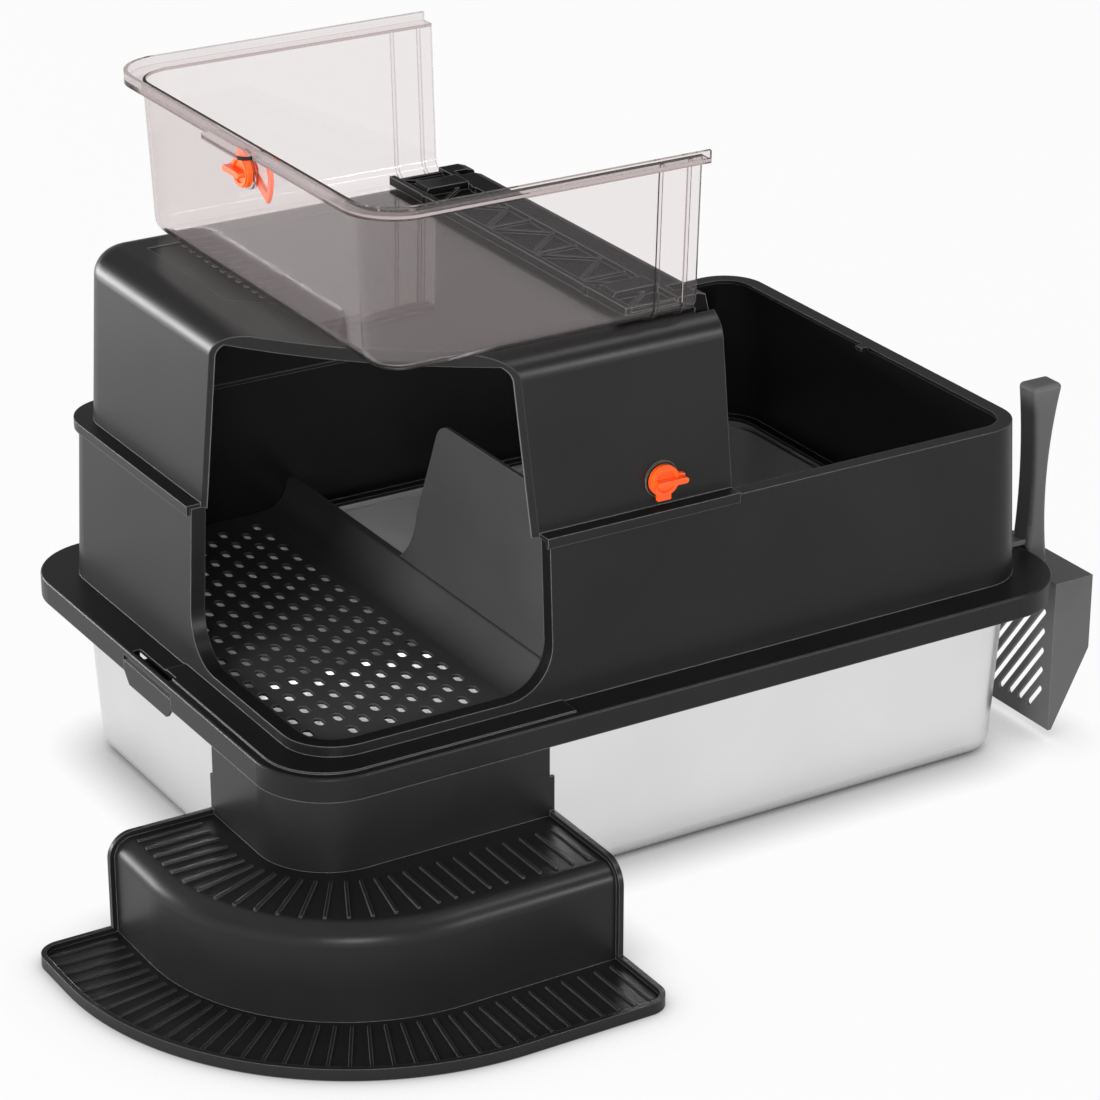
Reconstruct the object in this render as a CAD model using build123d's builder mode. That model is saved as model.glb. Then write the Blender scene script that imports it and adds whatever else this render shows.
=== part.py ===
from build123d import *

import os
from math import atan2, cos, degrees, hypot, radians, sin, tan

# Corner-entry cat litter box: a steel pan under a moulded frame with a hood, a clear flip lid
# and corner steps. Millimetres, Z up. The origin is the centre of the pan's underside, +X runs
# from the entry end to the open end, the entry corner is at -X -Y, and the lid is thrown open
# over the hood.

# Steel pan
PAN_LENGTH = 640.0
PAN_WIDTH = 418.0
PAN_HEIGHT = 152.0
PAN_SHEET = 1.2
PAN_CORNER = 40.0
PAN_DRAFT = 3.3
PAN_FLOOR_RADIUS = 14.0
PAN_FLANGE = 12.0
PAN_CURL = 5.0
PAN_COLLAR = 9.0
PAN_JOGGLE = 2.0

# Frame: rim, skirt and walls
RIM_REACH_X = 30.0
RIM_REACH_Y = 29.0
RIM_CORNER = 58.0
RIM_SHEET = 3.0
RIM_ROUND = 2.0
SKIRT_HEIGHT = 19.0
WALL_INSET = 27.0
WALL_SHEET = 3.0
WALL_HEIGHT = 129.0
WALL_DRAFT = 2.66
WALL_CORNER = 42.0
LEDGE = 12.0
TOP_LIP = 12.0
PAD_HEIGHT = 1.5
PAD_MARGIN = 7.0

# Entry cut in the corner of the frame
ENTRY_X = -120.0
ENTRY_Y = -20.0
ENTRY_SILL = 9.5
ENTRY_RADIUS = 38.0
ENTRY_BAND = 12.0
ENTRY_BAND_SHEET = 3.0

# Platform inside the entry, with its ridge and partition
PLATFORM_SHEET = 2.5
PLATFORM_RISE = 5.0
PLATFORM_CLEAR = 1.5
PLATFORM_RIB = 3.0
RIDGE_HEIGHT = 25.0
RIDGE_WIDTH = 9.0
RIDGE_SWEEP = 24.0
RIDGE_SKIRT = 10.0
GROOVE_DEPTH = 8.0
GROOVE_CLEAR = 0.1
SLOT_WIDTH = 7.0
SLOT_LENGTH = 12.0
SLOT_CUT = 2.0
SLOT_PITCH_X = 15.3
SLOT_PITCH_Y = 23.2
SLOT_MARGIN = 16.0
PARTITION_SHEET = 3.0
PARTITION_HEIGHT = 134.0
PARTITION_ROUND = 20.0
PARTITION_TOP_Y = -44.0
PARTITION_FOOT_Y = 22.0
PARTITION_FLARE = 46.0
PARTITION_FLARE_WIDTH = 28.5
PARTITION_FLARE_DIP = 16.5
PARTITION_CLEAR = 0.3

# Hood
FLANGE_OVERHANG = 4.0
FLANGE_SHEET = 3.0
FLANGE_LIP = 8.0
HOOD_INSET = 12.0
HOOD_SHEET = 3.0
HOOD_HEIGHT = 139.0
HOOD_DRAFT = 2.9
HOOD_CORNER = 38.0
HOOD_TOP_RADIUS = 22.0
HOOD_REAR = 43.0
HOOD_CUT_INSET = 4.0
HOOD_CUT_BULGE = 18.0
ROOF_LIP = 10.0
ROOF_LIP_SHEET = 2.5
ROOF_PANEL_MARGIN = 38.0
ROOF_PANEL_DEPTH = 0.8
ROOF_RIB_COUNT = 11
ROOF_RIB_PITCH = 13.0
ROOF_RIB_LENGTH = 26.0
ROOF_RIB_WIDTH = 4.0

# Lid, open over the hood
LID_SHEET = 2.5
LID_DRAFT = 2.6
LID_CORNER = 34.0
LID_PANEL_RADIUS = 14.0
LID_PANEL_LIFT = 2.5
LID_SEAT_GAP = 0.4
LID_HINGE_GAP = 1.5
LID_FLANGE_LIP = 6.5
LID_BEAD = 1.4
LID_BEAD_WIDTH = 3.0
LID_BEAD_PITCH = 24.0
LID_BEAD_EDGE = 11.0
LID_TAB_WIDTH = 70.0
LID_TAB_REACH = 9.0

# Hinge between hood and lid
HINGE_X = 28.0
HINGE_DROP = 8.0
BARREL_RADIUS = 7.0
HINGE_PIN_RADIUS = 2.0
PIN_CLEAR = 0.06
BARREL_SIDE = 47.0
EAR_WIDTH = 10.0
EAR_GAP = 0.6
EAR_REACH = 16.0
ROOF_NOTCH_GAP = 0.8
PIN_INSERT = 25.0
STRIP_WIDTH = 50.0
STRIP_INSET = 0.5
STRIP_SHEET = 2.5
STRIP_RAIL = 5.0
STRIP_RAIL_HEIGHT = 7.0
STRIP_BAYS = 5
STRIP_RIB = 2.4
STRIP_RIB_HEIGHT = 5.0
STRIP_SIDE = 21.0
STRIP_SCREW_RADIUS = 1.5
STRIP_BOSS_RADIUS = 4.0
STRIP_SCREW_HEAD = 3.0
STRIP_SCREW_SIDE = 77.0
STRIP_BLOCK_SIDE = 59.0
STRIP_BLOCK = 20.0
STRIP_BLOCK_HEIGHT = 9.0
STRIP_BLOCK_CUT = 4.0
WEB_THICKNESS = 4.5

# Turn locks on the hood's long walls and on the lid's end wall
LOCK_X = -19.0
LOCK_RISE = 23.0
LOCK_BOSS_RADIUS = 14.0
LOCK_BOSS_PROUD = 1.0
LOCK_BOSS_INSIDE = 1.2
KNOB_RADIUS = 12.2
KNOB_DISC = 4.0
KNOB_RING = 1.6
KNOB_RING_WIDTH = 2.6
KNOB_EDGE = 1.0
KNOB_FIN_WIDTH = 4.4
KNOB_FIN_HEIGHT = 7.0
KNOB_POINTER = 17.5
KNOB_LUG = 15.5
KNOB_LUG_WIDTH = 11.0
SHAFT_RADIUS = 4.0
SHAFT_CLEAR = 0.08
LOCK_GAP = 0.4
PAWL_SHEET = 3.0
PAWL_HUB_RADIUS = 7.0
PAWL_ARM_WIDTH = 6.0
PAWL_HOOK = 4.0
PAWL_CLEAR = 0.8
PAWL_SWEEP = 52.0
PAWL_HEEL = 6.0
PAWL_ARM_ANGLE = -122.0
TENON = 5.0
TENON_CLEAR = 0.05
LOCK_SCREW_RADIUS = 1.2
LOCK_SCREW_HEAD = 3.2
LOCK_SCREW_LENGTH = 8.0
KEEPER_WIDTH = 8.0
KEEPER_REACH = 6.5

# Rim clips at the middle of the two short sides
CLIP_WIDTH = 80.0
CLIP_DROP = 9.0
CLIP_TAPER = 8.0
CLIP_SHEET = 3.0
CLIP_GAP = 0.6
CLIP_TOP = 7.7
CLIP_CHAMFER = 2.6
CLIP_PIVOT_INSET = 6.5
CLIP_PIVOT_DROP = 7.2
CLIP_KNUCKLE_RADIUS = 3.4
CLIP_KNUCKLE_HALF = 30.0
CLIP_PIN_RADIUS = 1.5
CLIP_LUG_WIDTH = 6.0
CLIP_LUG_EASE = 0.4
CLIP_HOOK_GAP = 0.8
CLIP_HOOK_SHEET = 4.0
CLIP_HOOK_BITE = 2.4
CLIP_WINDOW_GAP = 2.1
CLIP_SLOT_WIDTH = 7.2

# Corner steps
STEP_END_X = -136.0
STEP_END_Y = -104.0
STEP_SHEET = 3.0
TREAD_ONE_X = 81.0
TREAD_ONE_Y = 92.0
TREAD_ONE_CORNER = 165.0
TREAD_ONE_HEIGHT = 80.0
TREAD_TWO_X = 66.0
TREAD_TWO_Y = 73.0
TREAD_TWO_EASE = 5.5
TREAD_TWO_HEIGHT = 5.0
NOSING_RADIUS = 15.0
STEP_BEAD = 4.0
STEP_BEAD_WIDTH = 4.0
STEP_TIP = 18.0
STEP_TAB_DROP = 24.0
STEP_RIB_WIDTH = 2.2
STEP_RIB_HEIGHT = 1.4
STEP_RIBS_ONE = 27
STEP_RIBS_TWO = 36
STEP_RIB_MARGIN = 11.0

# Scoop hung on the open end of the rim
SCOOP_SIDE = 85.0
SCOOP_WIDTH = 104.0
SCOOP_DEPTH = 37.0
SCOOP_DROP = 17.0
SCOOP_FOOT = 8.0
SCOOP_CHIN = 60.0
SCOOP_SHEET = 3.0
SCOOP_RIM_GAP = 1.5
SCOOP_SLOT_WIDTH = 5.2
SCOOP_SLOT_PITCH = 12.4
SCOOP_SLOT_LEAST = 14.0
SCOOP_SLOT_LEAN = 126.0
SCOOP_SLOT_MARGIN = 12.0
SCOOP_HANDLE_X = 30.0
SCOOP_HANDLE_Y = 22.0
SCOOP_HANDLE_RISE = 136.0
SCOOP_HANDLE_FOOT = 24.0
SCOOP_WAIST = 5.0
SCOOP_WAIST_RISE = 62.0
SCOOP_GRIP_RADIUS = 4.0
SCOOP_HOOK_WIDTH = 14.0
SCOOP_HOOK_SHEET = 4.0
SCOOP_HOOK_REACH = 10.0
SCOOP_HOOK_DEPTH = 9.0
SCOOP_HOOK_CLEAR = 0.6

# Levels and outlines that follow from the sizes above
RIM_LENGTH = PAN_LENGTH + 2 * RIM_REACH_X
RIM_WIDTH = PAN_WIDTH + 2 * RIM_REACH_Y
RIM_TOP = PAN_HEIGHT + RIM_SHEET
SKIRT_FOOT = RIM_TOP - SKIRT_HEIGHT
WALL_TOP = RIM_TOP + WALL_HEIGHT
WALL_LENGTH = RIM_LENGTH - 2 * WALL_INSET
WALL_WIDTH = RIM_WIDTH - 2 * WALL_INSET
WALL_LEAN = WALL_HEIGHT * tan(radians(WALL_DRAFT))
TOP_LENGTH = WALL_LENGTH - 2 * WALL_LEAN
TOP_WIDTH = WALL_WIDTH - 2 * WALL_LEAN
TOP_CORNER = WALL_CORNER - WALL_LEAN
SILL = RIM_TOP + ENTRY_SILL
DECK = RIM_TOP + PLATFORM_RISE
CREST = DECK + RIDGE_HEIGHT
FLANGE_LENGTH = TOP_LENGTH + 2 * FLANGE_OVERHANG
FLANGE_WIDTH = TOP_WIDTH + 2 * FLANGE_OVERHANG
FLANGE_CORNER = TOP_CORNER + FLANGE_OVERHANG
ROOF = WALL_TOP + FLANGE_SHEET + HOOD_HEIGHT
HOOD_LENGTH = FLANGE_LENGTH - 2 * HOOD_INSET
HOOD_WIDTH = FLANGE_WIDTH - 2 * HOOD_INSET
HINGE_Z = ROOF - HINGE_DROP
BARREL_HALF = HOOD_WIDTH / 2 - BARREL_SIDE
STRIP_END = HOOD_WIDTH / 2 - STRIP_SIDE
STRIP_SCREW_Y = HOOD_WIDTH / 2 - STRIP_SCREW_SIDE
STRIP_BLOCK_Y = HOOD_WIDTH / 2 - STRIP_BLOCK_SIDE
LOCK_Z = WALL_TOP + LOCK_RISE
SCOOP_Y = SCOOP_SIDE - RIM_WIDTH / 2
SCOOP_TOP = RIM_TOP - SCOOP_DROP
SCOOP_HANDLE_TOP = RIM_TOP + SCOOP_HANDLE_RISE
STEP_TAB_TOP = SKIRT_FOOT - STEP_TAB_DROP
TREAD_TWO_CORNER = TREAD_ONE_CORNER + (TREAD_TWO_X + TREAD_TWO_Y) / 2 + TREAD_TWO_EASE
LID_FLOOR = ROOF + LID_PANEL_LIFT
LID_SEAT = 2 * HINGE_Z - WALL_TOP - LID_SEAT_GAP
LID_EDGE = 2 * HINGE_X - HOOD_REAR - LID_HINGE_GAP
LID_FLANGE_END = 2 * HINGE_X - FLANGE_LENGTH / 2
LID_WALL_END = LID_FLANGE_END + HOOD_INSET
BIG = 4 * RIM_LENGTH


def rounded_block(length, width, corner, low, height, taper=0.0, centre_x=0.0):
    """A block on a rounded rectangle; a positive taper leans its walls inwards as it rises."""
    with BuildPart() as block:
        with BuildSketch(Plane.XY.offset(low)):
            with Locations((centre_x, 0)):
                RectangleRounded(length, width, corner)
        extrude(amount=height, taper=taper)
    return block.part


def along_y(points, low, high):
    """A polygon given in X and Z, carried along Y from low to high."""
    with BuildPart() as bar:
        with BuildSketch(Plane.XZ.offset(-high)):
            with BuildLine():
                Polyline(*points, close=True)
            make_face()
        extrude(amount=high - low)
    return bar.part


def entry_block(grow):
    """The room cut out of the frame's entry corner, its two lower edges rounded, grown outwards by grow."""
    low = SILL - grow
    with BuildPart() as block:
        with Locations((ENTRY_X + grow, ENTRY_Y + grow, low)):
            Box(RIM_LENGTH, RIM_WIDTH, 2 * WALL_HEIGHT, align=(Align.MAX, Align.MAX, Align.MIN))
        floor_edges = block.edges().group_by(Axis.Z)[0]
        side_edge = floor_edges.filter_by(Axis.Y).sort_by(Axis.X)[-1:]
        back_edge = floor_edges.filter_by(Axis.X).sort_by(Axis.Y)[-1:]
        fillet(side_edge + back_edge, ENTRY_RADIUS + grow)
    return block.part


# Steel pan: tapered tub with a rounded floor edge, a stepped collar and a turned-down rim flange
collar_low = PAN_HEIGHT - PAN_COLLAR
tub_length = PAN_LENGTH - 2 * PAN_JOGGLE
tub_width = PAN_WIDTH - 2 * PAN_JOGGLE
tub_corner = PAN_CORNER - PAN_JOGGLE


def pan_form(inset, low):
    """The pan's outer form, or with an inset its inner one, from a given floor up to the collar."""
    with BuildPart() as form:
        with BuildSketch(Plane.XY.offset(collar_low)):
            RectangleRounded(tub_length - 2 * inset, tub_width - 2 * inset, tub_corner - inset)
        extrude(amount=-(collar_low - low), taper=PAN_DRAFT)
        fillet(form.faces().sort_by(Axis.Z)[0].outer_wire().edges(), PAN_FLOOR_RADIUS - inset)
    return form.part


pan_outer = pan_form(0, 0)
pan_inner = pan_form(PAN_SHEET, PAN_SHEET)
flange_length = PAN_LENGTH + 2 * PAN_FLANGE
flange_width = PAN_WIDTH + 2 * PAN_FLANGE
flange_corner = PAN_CORNER + PAN_FLANGE
with BuildPart() as steel_pan:
    add(pan_outer)
    add(rounded_block(PAN_LENGTH, PAN_WIDTH, PAN_CORNER, collar_low - PAN_SHEET, PAN_COLLAR + PAN_SHEET))
    add(rounded_block(flange_length, flange_width, flange_corner, PAN_HEIGHT - PAN_CURL, PAN_CURL))
    with BuildSketch(Plane.XY.offset(PAN_HEIGHT - PAN_CURL)):
        RectangleRounded(
            flange_length - 2 * PAN_SHEET, flange_width - 2 * PAN_SHEET, flange_corner - PAN_SHEET
        )
        RectangleRounded(PAN_LENGTH, PAN_WIDTH, PAN_CORNER, mode=Mode.SUBTRACT)
    extrude(amount=PAN_CURL - PAN_SHEET, mode=Mode.SUBTRACT)
    add(pan_inner, mode=Mode.SUBTRACT)
    with BuildSketch(Plane.XY.offset(collar_low)):
        RectangleRounded(PAN_LENGTH - 2 * PAN_SHEET, PAN_WIDTH - 2 * PAN_SHEET, PAN_CORNER - PAN_SHEET)
    extrude(amount=PAN_COLLAR, mode=Mode.SUBTRACT)
steel_pan.part.label = "steel_pan"

# Frame: rim plate with skirt, leaning walls with a top lip, and the banded entry cut in one corner
wall_outer = rounded_block(WALL_LENGTH, WALL_WIDTH, WALL_CORNER, RIM_TOP, WALL_HEIGHT, WALL_DRAFT)


def wall_inside(inset):
    """The room inside the frame's walls when they are as thick as inset, open at the top."""
    reach = WALL_HEIGHT + WALL_SHEET
    return rounded_block(
        WALL_LENGTH - 2 * inset, WALL_WIDTH - 2 * inset, WALL_CORNER - inset, RIM_TOP, reach, WALL_DRAFT
    )


wall_room = wall_inside(WALL_SHEET)
band_room = wall_inside(ENTRY_BAND)
entry_room = entry_block(0)
entry_round = entry_block(ENTRY_BAND_SHEET)
with BuildPart() as entry_band:
    add(wall_outer)
    add(band_room, mode=Mode.SUBTRACT)
    add(entry_round, mode=Mode.INTERSECT)

clip_pivot_x = RIM_LENGTH / 2 - CLIP_PIVOT_INSET
clip_pivot_z = RIM_TOP - CLIP_PIVOT_DROP
clip_top = RIM_TOP - CLIP_TOP
clip_half = CLIP_WIDTH / 2
lug_inner = CLIP_KNUCKLE_HALF + CLIP_GAP
lug_outer = lug_inner + CLIP_LUG_WIDTH
lug_half_x = CLIP_KNUCKLE_RADIUS - CLIP_LUG_EASE
scoop_face = RIM_LENGTH / 2 + SCOOP_RIM_GAP
hook_tip = scoop_face - SCOOP_HOOK_REACH - SCOOP_HOOK_SHEET

with BuildPart() as base_frame:
    with BuildSketch(Plane.XY.offset(SKIRT_FOOT)):
        RectangleRounded(RIM_LENGTH, RIM_WIDTH, RIM_CORNER)
    extrude(amount=SKIRT_HEIGHT)
    fillet(base_frame.faces().sort_by(Axis.Z)[-1].outer_wire().edges(), RIM_ROUND)
    with BuildSketch(Plane.XY.offset(SKIRT_FOOT)):
        RectangleRounded(RIM_LENGTH - 2 * RIM_SHEET, RIM_WIDTH - 2 * RIM_SHEET, RIM_CORNER - RIM_SHEET)
    extrude(amount=SKIRT_HEIGHT - RIM_SHEET, mode=Mode.SUBTRACT)
    with BuildSketch(Plane.XY.offset(PAN_HEIGHT)):
        RectangleRounded(WALL_LENGTH - 2 * LEDGE, WALL_WIDTH - 2 * LEDGE, WALL_CORNER - LEDGE)
    extrude(amount=RIM_SHEET, mode=Mode.SUBTRACT)
    # raised pad on the rim round the entry corner
    with BuildSketch(Plane.XY.offset(RIM_TOP)):
        RectangleRounded(RIM_LENGTH - 2 * PAD_MARGIN, RIM_WIDTH - 2 * PAD_MARGIN, RIM_CORNER - PAD_MARGIN)
        with Locations((ENTRY_X + PAD_MARGIN, ENTRY_Y + PAD_MARGIN)):
            Rectangle(RIM_LENGTH, RIM_WIDTH, align=(Align.MAX, Align.MAX), mode=Mode.INTERSECT)
        RectangleRounded(WALL_LENGTH, WALL_WIDTH, WALL_CORNER, mode=Mode.SUBTRACT)
    extrude(amount=PAD_HEIGHT)
    # walls, their inward top lip and the keepers that the locks hook under
    add(wall_outer)
    add(wall_room, mode=Mode.SUBTRACT)
    with BuildSketch(Plane.XY.offset(WALL_TOP - WALL_SHEET)):
        RectangleRounded(TOP_LENGTH, TOP_WIDTH, TOP_CORNER)
        RectangleRounded(
            TOP_LENGTH - 2 * TOP_LIP, TOP_WIDTH - 2 * TOP_LIP, TOP_CORNER - TOP_LIP, mode=Mode.SUBTRACT
        )
        with Locations((LOCK_X, TOP_WIDTH / 2 - TOP_LIP), (LOCK_X, TOP_LIP - TOP_WIDTH / 2)):
            Rectangle(KEEPER_WIDTH, 2 * KEEPER_REACH)
        with Locations((TOP_LENGTH / 2 - TOP_LIP, 0)):
            Rectangle(2 * KEEPER_REACH, KEEPER_WIDTH)
    extrude(amount=WALL_SHEET)
    add(entry_band.part)
    add(entry_room, mode=Mode.SUBTRACT)
    # window in the skirt, slot in the rim and pin lugs for each rim clip
    for side in (-1, 1):
        with Locations((side * (RIM_LENGTH / 2 - RIM_SHEET / 2), 0, SKIRT_FOOT - 1)):
            window = clip_top + CLIP_WINDOW_GAP - SKIRT_FOOT + 1
            Box(2 * RIM_SHEET, CLIP_WIDTH + 2 * CLIP_GAP, window,
                align=(Align.CENTER, Align.CENTER, Align.MIN), mode=Mode.SUBTRACT)
        with Locations((side * clip_pivot_x, 0, RIM_TOP)):
            Box(CLIP_SLOT_WIDTH, 2 * lug_inner, 3 * RIM_SHEET, mode=Mode.SUBTRACT)
        for end in (-1, 1):
            with BuildSketch(Plane.XZ.offset(-end * (lug_inner + lug_outer) / 2)):
                with Locations((side * clip_pivot_x, clip_pivot_z)):
                    Circle(lug_half_x)
                with Locations((side * clip_pivot_x, (clip_pivot_z + PAN_HEIGHT) / 2)):
                    Rectangle(2 * lug_half_x, PAN_HEIGHT - clip_pivot_z)
                with Locations((side * clip_pivot_x, clip_pivot_z)):
                    Circle(CLIP_PIN_RADIUS + PIN_CLEAR, mode=Mode.SUBTRACT)
            extrude(amount=CLIP_LUG_WIDTH / 2, both=True)
    # slot in the rim that takes the scoop's hook
    with Locations((hook_tip + SCOOP_HOOK_SHEET / 2, SCOOP_Y, RIM_TOP)):
        Box(SCOOP_HOOK_SHEET + 2 * SCOOP_HOOK_CLEAR, SCOOP_HOOK_WIDTH + 2 * SCOOP_HOOK_CLEAR, 3 * RIM_SHEET,
            mode=Mode.SUBTRACT)
base_frame.part.label = "base_frame"

# Platform: perforated deck with a rib under its edge, and a swept-up ridge on the pan side
deck_end = -(WALL_LENGTH / 2 - WALL_SHEET - PLATFORM_CLEAR)
deck_half = WALL_WIDTH / 2 - WALL_SHEET - PLATFORM_CLEAR
deck_corner = WALL_CORNER - WALL_SHEET - PLATFORM_CLEAR
ridge_right = ENTRY_X + ENTRY_BAND_SHEET + PARTITION_SHEET
ridge_left = ridge_right - RIDGE_WIDTH
ridge_near = -(WALL_WIDTH / 2 - ENTRY_BAND - PLATFORM_CLEAR)
sweep_left = ridge_left - RIDGE_SWEEP
groove_x = ridge_right - RIDGE_WIDTH / 2
slot_room_x = sweep_left - deck_end - 2 * SLOT_MARGIN
slot_columns = int(slot_room_x / SLOT_PITCH_X) + 1
slot_rows = int((2 * deck_half - 2 * SLOT_MARGIN - SLOT_PITCH_Y / 2) / SLOT_PITCH_Y) + 1
slot_centre_x = (sweep_left + deck_end) / 2

with BuildPart() as entry_platform:
    with BuildSketch(Plane.XY.offset(DECK - PLATFORM_SHEET)):
        RectangleRounded(-2 * deck_end, 2 * deck_half, deck_corner)
        with Locations((ridge_right, 0)):
            Rectangle(RIM_LENGTH, RIM_WIDTH, align=(Align.MIN, Align.CENTER), mode=Mode.SUBTRACT)
    extrude(amount=PLATFORM_SHEET)
    # rib under the edge that stands on the frame's ledge
    with BuildSketch(Plane.XY.offset(RIM_TOP)):
        RectangleRounded(-2 * deck_end, 2 * deck_half, deck_corner)
        RectangleRounded(
            -2 * (deck_end + PLATFORM_RIB), 2 * (deck_half - PLATFORM_RIB), deck_corner - PLATFORM_RIB,
            mode=Mode.SUBTRACT,
        )
        with Locations((ridge_left, 0)):
            Rectangle(RIM_LENGTH, RIM_WIDTH, align=(Align.MIN, Align.CENTER), mode=Mode.SUBTRACT)
    extrude(amount=PLATFORM_RISE - PLATFORM_SHEET)
    # ridge with a quarter-round sweep from the deck, hollow behind, and the groove for the partition
    with BuildSketch(Plane.XZ.offset(-deck_half)):
        with BuildLine():
            ThreePointArc(
                (sweep_left, DECK),
                (sweep_left + RIDGE_SWEEP * sin(radians(45)), DECK + RIDGE_HEIGHT * (1 - cos(radians(45)))),
                (ridge_left, CREST),
            )
            Polyline(
                (ridge_left, CREST), (ridge_right, CREST), (ridge_right, RIM_TOP - RIDGE_SKIRT),
                (ridge_right - PLATFORM_RIB, RIM_TOP - RIDGE_SKIRT),
                (ridge_right - PLATFORM_RIB, DECK - PLATFORM_SHEET), (sweep_left, DECK - PLATFORM_SHEET),
                (sweep_left, DECK),
            )
        make_face()
    extrude(amount=deck_half - ridge_near)
    top_edges = entry_platform.edges().filter_by(Axis.Y).group_by(Axis.Z)[-1]
    fillet(top_edges, PLATFORM_SHEET)
    with BuildSketch(Plane.XY.offset(CREST - GROOVE_DEPTH)):
        with Locations((groove_x, ridge_near)):
            Rectangle(
                PARTITION_SHEET + 2 * GROOVE_CLEAR, PARTITION_FOOT_Y + GROOVE_CLEAR - ridge_near,
                align=(Align.CENTER, Align.MIN),
            )
    extrude(amount=2 * GROOVE_DEPTH, mode=Mode.SUBTRACT)
    # the skirt under the ridge stops short of the pan's flange and the frame's ledge
    for end in (-1, 1):
        with Locations((ridge_right, end * (WALL_WIDTH / 2 - LEDGE - PLATFORM_CLEAR), RIM_TOP)):
            Box(4 * RIDGE_WIDTH, RIM_WIDTH, 4 * RIDGE_SKIRT,
                align=(Align.CENTER, Align.MAX if end < 0 else Align.MIN, Align.MAX), mode=Mode.SUBTRACT)
    # staggered slots through the deck
    with BuildSketch(Plane.XY.offset(DECK - PLATFORM_SHEET)):
        for column in range(slot_columns):
            x = slot_centre_x + (column - (slot_columns - 1) / 2) * SLOT_PITCH_X
            shift = SLOT_PITCH_Y / 4 * (1 if column % 2 else -1)
            near_corner = abs(x - deck_end) < deck_corner
            rows = slot_rows - 1 if near_corner else slot_rows
            with Locations((x, shift)):
                with GridLocations(SLOT_PITCH_X, SLOT_PITCH_Y, 1, rows):
                    with BuildSketch(mode=Mode.PRIVATE) as slot:
                        Rectangle(SLOT_WIDTH, SLOT_LENGTH)
                        chamfer(slot.vertices(), SLOT_CUT)
                    add(slot.sketch)
    extrude(amount=PLATFORM_SHEET, mode=Mode.SUBTRACT)
entry_platform.part.label = "entry_platform"

# Partition: upright panel in the ridge's groove, its free edge swept down towards the far wall
partition_foot = CREST - GROOVE_DEPTH
partition_top = CREST + PARTITION_HEIGHT
band_half = WALL_WIDTH / 2 - ENTRY_BAND - (CREST - RIM_TOP) * tan(radians(WALL_DRAFT))
partition_near_low = PARTITION_CLEAR - band_half
partition_near_mid = PARTITION_CLEAR - (TOP_WIDTH / 2 - ENTRY_BAND)
hood_half_low = HOOD_WIDTH / 2 - HOOD_SHEET
hood_half_high = hood_half_low - (partition_top - WALL_TOP) * tan(radians(HOOD_DRAFT))
partition_near_top = PARTITION_CLEAR - hood_half_high
flare_top_y = PARTITION_FOOT_Y - PARTITION_FLARE_WIDTH
with BuildPart() as entry_partition:
    with BuildSketch(Plane.YZ.offset(groove_x)):
        with BuildLine():
            Polyline(
                (PARTITION_FOOT_Y, CREST), (PARTITION_FOOT_Y, partition_foot),
                (partition_near_low, partition_foot), (partition_near_low, CREST),
                (partition_near_mid, WALL_TOP), (partition_near_top, partition_top),
                (PARTITION_TOP_Y, partition_top),
                (flare_top_y, CREST + PARTITION_FLARE),
            )
            ThreePointArc(
                (flare_top_y, CREST + PARTITION_FLARE),
                (PARTITION_FOOT_Y - PARTITION_FLARE_DIP, CREST + PARTITION_FLARE_DIP),
                (PARTITION_FOOT_Y, CREST),
            )
        make_face()
        fillet(vertices().group_by(Axis.Y)[-1].sort_by(Axis.X)[-1:], PARTITION_ROUND)
    extrude(amount=PARTITION_SHEET / 2, both=True)
entry_partition.part.label = "entry_partition"

# Hood: leaning walls with a rounded roof, open at the rear, cut away round the entry
hood_block_rear = HOOD_REAR + 2 * HOOD_CORNER
hood_block_length = hood_block_rear + HOOD_LENGTH / 2
hood_block_centre = (hood_block_rear - HOOD_LENGTH / 2) / 2


def hood_form(inset):
    """The hood's outer form, or with an inset its inner one, with its roof edge rounded."""
    with BuildPart() as form:
        with BuildSketch(Plane.XY.offset(WALL_TOP)):
            with Locations((hood_block_centre, 0)):
                RectangleRounded(hood_block_length - 2 * inset, HOOD_WIDTH - 2 * inset, HOOD_CORNER - inset)
        extrude(amount=ROOF - WALL_TOP - inset, taper=HOOD_DRAFT)
        fillet(form.faces().sort_by(Axis.Z)[-1].outer_wire().edges(), HOOD_TOP_RADIUS - inset)
    return form.part


hood_cut_x = ENTRY_X - HOOD_CUT_INSET
hood_left = -HOOD_LENGTH / 2
hood_near = -HOOD_WIDTH / 2
arc_mid_x = (hood_left + hood_cut_x) / 2 - HOOD_CUT_BULGE * sin(radians(45))
arc_mid_y = (ENTRY_Y + hood_near) / 2 - HOOD_CUT_BULGE * sin(radians(45))


def hood_cut(grow, low, high):
    """The corner cut away from the hood, bulging towards the entry corner, grown inwards by grow."""
    with BuildPart() as cut:
        with BuildSketch(Plane.XY.offset(low)):
            with BuildLine():
                Polyline(
                    (hood_cut_x, hood_near), (hood_cut_x, -RIM_WIDTH), (-RIM_LENGTH, -RIM_WIDTH),
                    (-RIM_LENGTH, ENTRY_Y), (hood_left, ENTRY_Y),
                )
                ThreePointArc((hood_left, ENTRY_Y), (arc_mid_x, arc_mid_y), (hood_cut_x, hood_near))
            make_face()
            if grow > 0:
                offset(amount=grow)
        extrude(amount=high - low)
    return cut.part


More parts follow.
